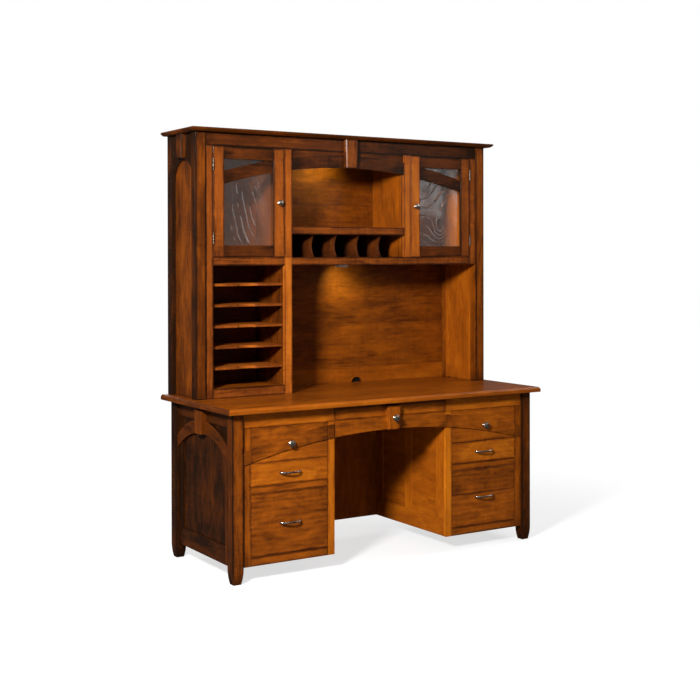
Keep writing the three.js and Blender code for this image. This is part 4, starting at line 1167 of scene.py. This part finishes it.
    def pigeonhole_boards(self):
        """Boards of the pigeonholes: the shelf, its rail and the upright dividers."""
        top = high("pigeonholes", "Z")
        rail = lambda f: (f.y < HUTCH_FACE + PIGEON_RAIL_DEEP) & (f.z > top - SHELF_RAIL - HAIR)
        # The uprights' dark tone is partly painted shade of the slots between them
        upright = lambda f: f.z < top - SHELF_RAIL + UPRIGHT_LAP
        return [], [(everywhere, "X", -0.2), (upright, "Z", -0.65), (rail, "X", -0.30)]


class DESK_OT_painted_notch_shade(bpy.types.Operator):
    """Makes the dark felt that stands in the cable notch, a sheet of painted shade that hides what lies
    behind the hole
    """

    bl_idname = "desk.notch_seal"
    bl_label = "Make the notch's felt"

    def execute(self, context):
        """A closed sheet: at height z its half width is the root of the squared radius less the squared z."""
        u = np.linspace(-1, 1, 33)[:, None]
        v = np.linspace(0, 1, 25)[None, :]
        z = NOTCH_DROP + (NOTCH_RADIUS - SHADE_FELT_SHY - NOTCH_DROP) * v + 0 * u
        radius = NOTCH_RADIUS - SHADE_FELT_SHY / 2
        half = np.sqrt(radius**2 - z**2)
        front = high("hutch_back", "Y") - SHADE_FELT_THICK
        face = np.stack([NOTCH_X + half * u, front + 0 * half, DESK_HIGH - NOTCH_DROP + z], -1)
        points, quads = sheet_shell(face, (0, SHADE_FELT_THICK, 0))
        mesh = closed_mesh("notch_felt", [(points, quads, 0, 0.0)], [bpy.data.materials["dark_felt"]])
        mesh.set_sharp_from_angle(angle=ARRIS_ANGLE)
        felt = new_object("notch_felt", mesh)
        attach(felt, "case")
        return {"FINISHED"}


class DESK_OT_doors(bpy.types.Operator):
    """Dresses the two framed doors"""

    bl_idname = "desk.doors"
    bl_label = "Dress the doors"

    def execute(self, context):
        table = []
        for side in ("left", "right"):
            table.append((f"door_frame_{side}", "curly_maple", *self.boards(side)))
        dress_all(context, table)
        return {"FINISHED"}

    def boards(self, side):
        """Boards of a door: two stiles, two rails and the arched bar."""
        node = f"door_frame_{side}"
        inner, outer = low(node, "X") + DOOR_STILE, high(node, "X") - DOOR_STILE
        top = high(node, "Z") - DOOR_RAIL
        front = low(node, "Y")
        between = lambda f: within(f.x, inner - HAIR, outer + HAIR)
        lowest = low(node, "Z") + BAR_ABOVE
        bar = lambda f: between(f) & (f.y > front + BAR_SET_BACK - HAIR) & (f.z > lowest)
        under_rail = lambda f: np.abs(f.z - top) < HAIR
        tone = -0.26 if side == "left" else 0.34
        boards = [
            (everywhere, "X", -0.66),
            (bar, "X", -0.95),
            (lambda f: between(f) & under_rail(f), "X", -0.80),
            (lambda f: f.x < inner - HAIR, "Z", tone),
            (lambda f: f.x > outer + HAIR, "Z", 0.0 if side == "left" else -0.22),
        ]
        return [("X", inner), ("X", outer)], boards


class DESK_OT_glass(bpy.types.Operator):
    """Makes the two wavy panes"""

    bl_idname = "desk.glass"
    bl_label = "Make the panes"

    def execute(self, context):
        u = np.linspace(0, 1, 70)[:, None]
        v = np.linspace(0, 1, 100)[None, :]
        # Strands that fan out as they fall, thinning out towards the head
        fan = 9 * (u - 0.30 * (1 - v) ** 2) / (1.25 - 0.55 * v) + 0.25 * np.sin(6 * v)
        fan_share = np.clip(1.8 - 1.9 * v, 0, 1) * np.clip(6 * u - 0.6, 0, 1) * np.clip(5.2 - 6 * u, 0, 1)
        # Folds that lie across the pane and curl over towards its foot
        curl = 9 * v + 0.9 * np.sin(5 * u + 2 * v) + 3.5 * np.exp(-((u - 0.55) ** 2 + (v - 0.25) ** 2) / 0.03)
        curl_share = np.clip(4.2 - 5.5 * u, 0, 1) * np.ones_like(v)
        self.pane(context, "door_glass_left", u, v, 0.0, fan, fan_share)
        self.pane(context, "door_glass_right", u, v, 2.1, curl, 0.7 * curl_share)
        return {"FINISHED"}

    def pane(self, context, node, u, v, turn, streak, share):
        """A closed pane whose two faces wave together.

        Over shares u across and v up, the wave is the sine of a phase that grows with u and bends with v,
        plus a slower sine of v, and it dies out at the border with u(1 - u)v(1 - v). The streak numbers are
        whole along the ridges of the glass, and the share says how strong they are.
        """
        lowest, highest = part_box(node)
        phase = 2 * math.pi * (2.2 * u + 0.8 * v * v) + turn + 1.4 * np.sin(3.1 * v + turn)
        wave = np.sin(phase) + 0.6 * np.sin(2 * math.pi * 1.3 * v + 2.0 * u + turn)
        still = np.clip(40 * u * (1 - u) * v * (1 - v), 0, 1)
        height = context.scene.desk_glass.wave * wave * still
        x = lowest.x + (highest.x - lowest.x) * u + 0 * v
        z = lowest.z + (highest.z - lowest.z) * v + 0 * u
        front = np.stack([x, lowest.y + PANE_SHY + height, z], -1)
        points, quads = sheet_shell(front, (0, highest.y - lowest.y - 2 * PANE_SHY, 0))
        mesh = stand_in(node, "_wavy", [(points, quads, 0, 0.0)], ["wavy_glass"], ARRIS_ANGLE)
        for name, values in (("streak_phase", streak), ("streak_share", share * still)):
            add_attribute(mesh, name, "POINT", np.tile((values + 0 * u * v).ravel(), 2))


class DESK_OT_hardware(bpy.types.Operator):
    """Makes the round knobs, the bow pulls and the butt hinges"""

    bl_idname = "desk.hardware"
    bl_label = "Make the hardware"

    def execute(self, context):
        knobs = ["pull_top_left", "pull_top_right", "pull_centre", "door_knob_left", "door_knob_right"]
        for node in knobs:
            self.knob(context, node)
        for row in ("middle", "file"):
            for side in ("left", "right"):
                self.pull(context, f"pull_{row}_{side}")
        for side in ("left", "right"):
            for end in ("lower", "upper"):
                self.hinge(context, f"hinge_{side}_{end}")
        return {"FINISHED"}

    def knob(self, context, node):
        """A turned knob: foot, waist, a round head with a rim groove and a low dome."""
        lowest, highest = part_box(node)
        radius = (highest.x - lowest.x) / 2
        out = highest.y - lowest.y
        centre = ((lowest.x + highest.x) / 2, highest.y, (lowest.z + highest.z) / 2)
        shares = np.array([
            [0.0, 0.0, 0.0], [0.60, 0.0, 0.3], [0.64, 0.03, 0.0], [0.58, 0.08, 0.4], [0.42, 0.16, 0.9],
            [0.34, 0.28, 0.9], [0.36, 0.40, 0.6], [0.62, 0.50, 0.2], [0.90, 0.58, 0.0], [1.0, 0.68, 0.0],
            [0.96, 0.79, 0.0], [0.84, 0.86, 0.5], [0.76, 0.865, 1.0], [0.70, 0.90, 0.3], [0.46, 0.96, 0.0],
            [0.2, 0.993, 0.0], [0.0, 1.0, 0.0],
        ])
        line = smooth_line(shares, 5)
        profile = line[:, :2] * (radius, out)
        sides = context.scene.desk_hardware.sides
        points, quads = revolved(profile, centre, (0, -1, 0), sides)
        hollow = np.clip(np.repeat(line[:, 2], sides), 0, 1)
        stand_in(node, "_turned", [(points, quads, 0, hollow)], ["aged_pewter"])

    def pull(self, context, node):
        """A bow pull: an oval section on a half-oval path, swelling towards two round feet with a collar.

        At angle a from pi down to 0 the path is half the spread times cos a across and the reach times
        sin a outwards. With t the share of sin a between 0.25 and 0.8, the section's half sizes are a
        mix of the feet's and the middle's, the middle's part being t squared times (3 - 2 t).
        """
        lowest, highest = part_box(node)
        foot = (highest.z - lowest.z) / 2
        spread = (highest.x - lowest.x) / 2 - foot
        thick, tall, collar_deep = 0.0038, 0.0046, 0.0012
        sides = 24
        reach = highest.y - lowest.y - thick
        middle = np.array([(lowest.x + highest.x) / 2, highest.y, (lowest.z + highest.z) / 2])
        angle = math.pi * (1 - np.linspace(0, 1, 61))
        share = np.clip((np.sin(angle) - 0.25) / 0.55, 0, 1)
        swell = 1 - share**2 * (3 - 2 * share)
        collar = np.exp(-((np.sin(angle) - 0.10) / 0.035) ** 2)
        centre = np.stack([spread * np.cos(angle), -reach * np.sin(angle), 0 * angle], 1)
        forward = np.stack([spread * np.sin(angle), reach * np.cos(angle), 0 * angle], 1)
        forward /= np.linalg.norm(forward, axis=1)[:, None]
        normal = np.stack([-forward[:, 1], forward[:, 0], 0 * angle], 1)
        half_thick = thick + (foot - thick) * swell - collar_deep * collar
        half_tall = tall + (foot - tall) * swell - collar_deep * collar
        turn = np.linspace(0, 2 * math.pi, sides, endpoint=False)
        rings = centre[:, None] + normal[:, None] * (half_thick[:, None] * np.cos(turn))[..., None]
        rings[..., 2] += half_tall[:, None] * np.sin(turn)
        rings[..., 1] = np.minimum(rings[..., 1], 0)
        points, quads = capped(rings + middle)
        # Patina at the collar is real; the rise towards the middle of the bow is a painted reflection of the
        # wood that darkens the grip
        dark = np.clip(collar + 0.6 * np.sin(angle) ** 3, 0, 1)
        hollow = np.repeat(np.concatenate([[0.8], dark, [0.8]]), sides)
        stand_in(node, "_bow", [(points, quads, 0, hollow)], ["aged_pewter"])

    def hinge(self, context, node):
        """A butt hinge: five knuckles with a domed cap at each end, and the leaves in the gap."""
        lowest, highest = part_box(node)
        radius = (highest.x - lowest.x) / 2
        tall = highest.z - lowest.z
        centre = ((lowest.x + highest.x) / 2, lowest.y + radius, lowest.z)
        knuckles, sides = 5, 20
        cap, groove, leaf = 0.0025, 0.0005, 0.0006
        rows = [[0.0, 0.0, 0.0], [0.7 * radius, 0.15 * cap, 0.0], [0.86 * radius, cap, 1.0]]
        for i in range(knuckles):
            start = cap + (tall - 2 * cap) * i / knuckles
            stop = cap + (tall - 2 * cap) * (i + 1) / knuckles
            rows += [[radius, start + groove, 0.0], [radius, stop - groove, 0.0], [0.86 * radius, stop, 1.0]]
        rows += [[0.7 * radius, tall - 0.15 * cap, 0.0], [0.0, tall, 0.0]]
        rows = np.array(rows)
        points, quads = revolved(rows[:, :2], centre, (0, 0, 1), sides)
        hollow = np.repeat(0.8 + 0.2 * rows[:, 2], sides)
        xs = centre[0] + leaf * np.array([-1, 1, 1, -1])
        ys = np.array([centre[1], centre[1], highest.y, highest.y])
        rings = [np.column_stack([xs, ys, np.full(4, z)]) for z in (lowest.z, highest.z)]
        plate, plate_quads = capped(np.stack(rings))
        shells = [(points, quads, 0, hollow), (plate, plate_quads, 0, 0.4)]
        stand_in(node, "_knuckled", shells, ["aged_pewter"], math.radians(40))


class DESK_OT_lamps(bpy.types.Operator):
    """Makes the two puck lights with their ribbed lenses and their glow"""

    bl_idname = "desk.lamps"
    bl_label = "Make the puck lights"

    def execute(self, context):
        self.lamp(context, "lamp_lower", (0.095, 0.136, -0.100), 95, 0.55)
        self.lamp(context, "lamp_upper", (-0.04, 0.136, -0.110), 120, 1.0)
        return {"FINISHED"}

    def lamp(self, context, node, aim, spread, share):
        """A turned housing with a rounded rim, and a sunk lens with ring-shaped ribs."""
        lowest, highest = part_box(node)
        radius = (highest.x - lowest.x) / 2
        tall = highest.z - lowest.z
        centre = Vector(((lowest.x + highest.x) / 2, (lowest.y + highest.y) / 2, highest.z))
        lens_radius, lens_drop, lip, step = 0.025, 0.003, 0.002, 0.0008
        ribs, rib_high, dome_high, glow_drop = 8, 0.00025, 0.0018, 0.001
        rim = smooth_line([
            [radius, 0.55 * tall], [radius, 0.72 * tall], [0.985 * radius, 0.86 * tall],
            [0.94 * radius, 0.96 * tall], [0.88 * radius, tall], [lens_radius + lip, tall],
            [lens_radius, tall - step], [lens_radius, tall - lens_drop],
        ], 5)
        body = np.concatenate([[[0.0, 0.0], [radius, 0.0], [radius, 0.2 * tall]], rim])
        along = np.linspace(1, 0, 49)
        relief = rib_high * np.cos(2 * math.pi * ribs * along) + dome_high * (1 - along**2)
        lens = np.stack([lens_radius * along, tall - lens_drop + np.where(along < 1, relief, 0)], 1)
        profile = np.concatenate([body, lens[1:]])
        sides = 56
        points, quads = revolved(profile, centre, (0, 0, -1), sides)
        slots = np.repeat(np.where(np.arange(len(profile) - 1) >= len(body) - 1, 1, 0), sides)
        shells = [(points, quads, slots, 0.0)]
        stand_in(node, "_turned", shells, ["lamp_enamel", "lamp_lens"], math.radians(50))
        light = bpy.data.lights.new(node + "_glow", "AREA")
        light.shape = "DISK"
        light.size = 2 * lens_radius
        light.spread = math.radians(spread)
        light.color = context.scene.desk_lamps.glow[:3]
        light.energy = context.scene.desk_lamps.power * share
        glow = bpy.data.objects.new(node + "_glow", light)
        glow.location = centre - Vector((0, 0, tall + glow_drop))
        glow.rotation_euler = Vector(aim).to_track_quat("-Z", "Y").to_euler()
        bpy.context.scene.collection.objects.link(glow)


class DESK_OT_stage(bpy.types.Operator):
    """Sets the floor, the lights, the world and the camera"""

    bl_idname = "desk.stage"
    bl_label = "Set the stage"

    def execute(self, context):
        settings = context.scene.desk_stage
        self.floor()
        self.world(settings.sky)
        lights = [
            ("key_light", settings.key_power, (-3.12, -2.30, 2.40), (0.1, -0.1, 0.95), (0.5, 0.5)),
            ("fill_light", settings.fill_power, (-0.2, -4.4, 4.0), (0.0, 0.0, 1.0), (3.0, 2.0)),
        ]
        strips, lowest, apart = 4, 1.86, 0.20
        power = settings.mirror_power / strips
        for number in range(strips):
            place = (2.2, -3.0, lowest + apart * number)
            lights.append((f"side_strip_{number + 1}", power, place, (0.5, 0.0, 1.7), (1.2, 0.12)))
        lights += [
            ("right_light", settings.round_power, (4.2, -0.6, 3.5), (0.6, 0.0, 1.0), (2.0, 2.0)),
            ("rear_light", settings.round_power, (0.7, 4.8, 3.0), (0.1, 0.3, 1.1), (2.4, 2.0)),
        ]
        for light in lights:
            self.soft_box(*light)
        self.camera(settings.lens)
        context.scene.view_settings.view_transform = "Standard"
        return {"FINISHED"}

    def soft_box(self, name, power, place, aim, size):
        """A rectangular light at a place, turned to its aim."""
        light = bpy.data.lights.new(name, "AREA")
        light.shape = "RECTANGLE"
        light.size, light.size_y = size
        light.energy = power
        box = bpy.data.objects.new(name, light)
        box.location = place
        box.rotation_euler = (Vector(aim) - Vector(place)).to_track_quat("-Z", "Y").to_euler()
        bpy.context.scene.collection.objects.link(box)

    def floor(self):
        """A wide pale floor that fades to the white of the backdrop."""
        half = 14.0
        mesh = bpy.data.meshes.new("floor")
        corners = [(-half, -half, 0), (half, -half, 0), (half, half, 0), (-half, half, 0)]
        mesh.from_pydata(corners, [], [(0, 1, 2, 3)])
        made, s, shader = material_sketch("pale_floor")
        shader.inputs["Roughness"].default_value = 0.9
        path = s.node("ShaderNodeLightPath")
        mirrored_share = s.math("MULTIPLY", path.outputs["Is Glossy Ray"], 0.04)
        seen = s.math("MAXIMUM", path.outputs["Is Camera Ray"], path.outputs["Is Transmission Ray"])
        seen = s.math("MAXIMUM", seen, mirrored_share)
        point = s.node("ShaderNodeTexCoord").outputs["Object"]
        distance = s.vector("LENGTH", point).node.outputs["Value"]
        near = s.fade(distance, 1.2, 3.0, FLOOR_ALBEDO, 0.0)
        kept = s.math("MAXIMUM", near, s.math("MULTIPLY_ADD", seen, -FLOOR_ALBEDO, FLOOR_ALBEDO))
        kept = s.math("MULTIPLY", kept, s.math("MULTIPLY_ADD", path.outputs["Is Glossy Ray"], -0.9, 1.0))
        grey = s.node("ShaderNodeCombineColor", {0: kept, 1: kept, 2: kept})
        s.feed(shader.inputs["Base Color"], grey.outputs[0])
        strength = s.math("MULTIPLY", seen, s.math("SUBTRACT", 1.0, near))
        white = s.node("ShaderNodeEmission", {"Color": (1.0, 1.0, 1.0, 1.0), "Strength": strength})
        both = s.node("ShaderNodeAddShader")
        s.feed(both.inputs[0], shader.outputs[0])
        s.feed(both.inputs[1], white.outputs[0])
        out = next(node for node in made.node_tree.nodes if node.type == "OUTPUT_MATERIAL")
        s.feed(out.inputs["Surface"], both.outputs[0])
        mesh.materials.append(made)
        new_object("floor", mesh)

    def world(self, strength):
        """White behind the desk for the camera, and an even ambient light for the rest."""
        world = bpy.data.worlds.new("studio")
        world.use_nodes = True
        world.node_tree.nodes.clear()
        s = Sketch(world.node_tree)
        path = s.node("ShaderNodeLightPath")
        seen = s.math("MAXIMUM", path.outputs["Is Camera Ray"], path.outputs["Is Transmission Ray"])
        even = s.node("ShaderNodeBackground", {"Color": (1.0, 0.98, 0.96, 1.0), "Strength": strength})
        white = s.node("ShaderNodeBackground", {"Color": (1.0, 1.0, 1.0, 1.0), "Strength": 1.0})
        shown = s.math("MAXIMUM", seen, s.math("MULTIPLY", path.outputs["Is Glossy Ray"], 0.04))
        mixed = s.node("ShaderNodeMixShader", {0: shown})
        s.feed(mixed.inputs[1], even.outputs[0])
        s.feed(mixed.inputs[2], white.outputs[0])
        out = s.node("ShaderNodeOutputWorld")
        s.feed(out.inputs["Surface"], mixed.outputs[0])
        bpy.context.scene.world = world

    def camera(self, lens):
        """A camera where the photograph was taken from, left of the desk's front and at hutch height."""
        data = bpy.data.cameras.new("camera")
        data.lens = lens
        data.sensor_width = 36.0
        data.shift_x, data.shift_y = CAMERA_SHIFT
        data.clip_end = 100.0
        camera = bpy.data.objects.new("camera", data)
        camera.location = CAMERA_PLACE
        camera.rotation_euler = (math.pi / 2 + CAMERA_PITCH, CAMERA_ROLL, -CAMERA_YAW)
        bpy.context.scene.collection.objects.link(camera)
        bpy.context.scene.camera = camera


OPERATORS = (
    DESK_OT_materials,
    DESK_OT_case,
    DESK_OT_drawers,
    DESK_OT_hutch,
    DESK_OT_painted_notch_shade,
    DESK_OT_doors,
    DESK_OT_glass,
    DESK_OT_hardware,
    DESK_OT_lamps,
    DESK_OT_stage,
)


class DESK_PT_looks(bpy.types.Panel):
    """Panel that lists the desk's operators and settings"""

    bl_idname = "DESK_PT_looks"
    bl_label = "Wall desk"
    bl_space_type = "VIEW_3D"
    bl_region_type = "UI"
    bl_category = "Wall desk"

    def draw(self, context):
        for operator in OPERATORS:
            self.layout.operator(operator.bl_idname)
        for name in SETTINGS:
            box = self.layout.box()
            group = getattr(context.scene, name)
            for key in group.__annotations__:
                box.prop(group, key)


SETTINGS = {
    "desk_wood": DeskWood,
    "desk_hardware": DeskHardware,
    "desk_glass": DeskGlass,
    "desk_lamps": DeskLamps,
    "desk_stage": DeskStage,
}


def register():
    """Registers the settings, the operators and the panel."""
    for name, group in SETTINGS.items():
        bpy.utils.register_class(group)
        setattr(bpy.types.Scene, name, bpy.props.PointerProperty(type=group))
    for operator in OPERATORS:
        bpy.utils.register_class(operator)
    bpy.utils.register_class(DESK_PT_looks)


def unregister():
    """Takes away what register added."""
    bpy.utils.unregister_class(DESK_PT_looks)
    for operator in reversed(OPERATORS):
        bpy.utils.unregister_class(operator)
    for name, group in SETTINGS.items():
        delattr(bpy.types.Scene, name)
        bpy.utils.unregister_class(group)


def main():
    """Runs every operator in order."""
    register()
    for operator in OPERATORS:
        family, action = operator.bl_idname.split(".")
        getattr(getattr(bpy.ops, family), action)()


if __name__ == "__main__":
    main()
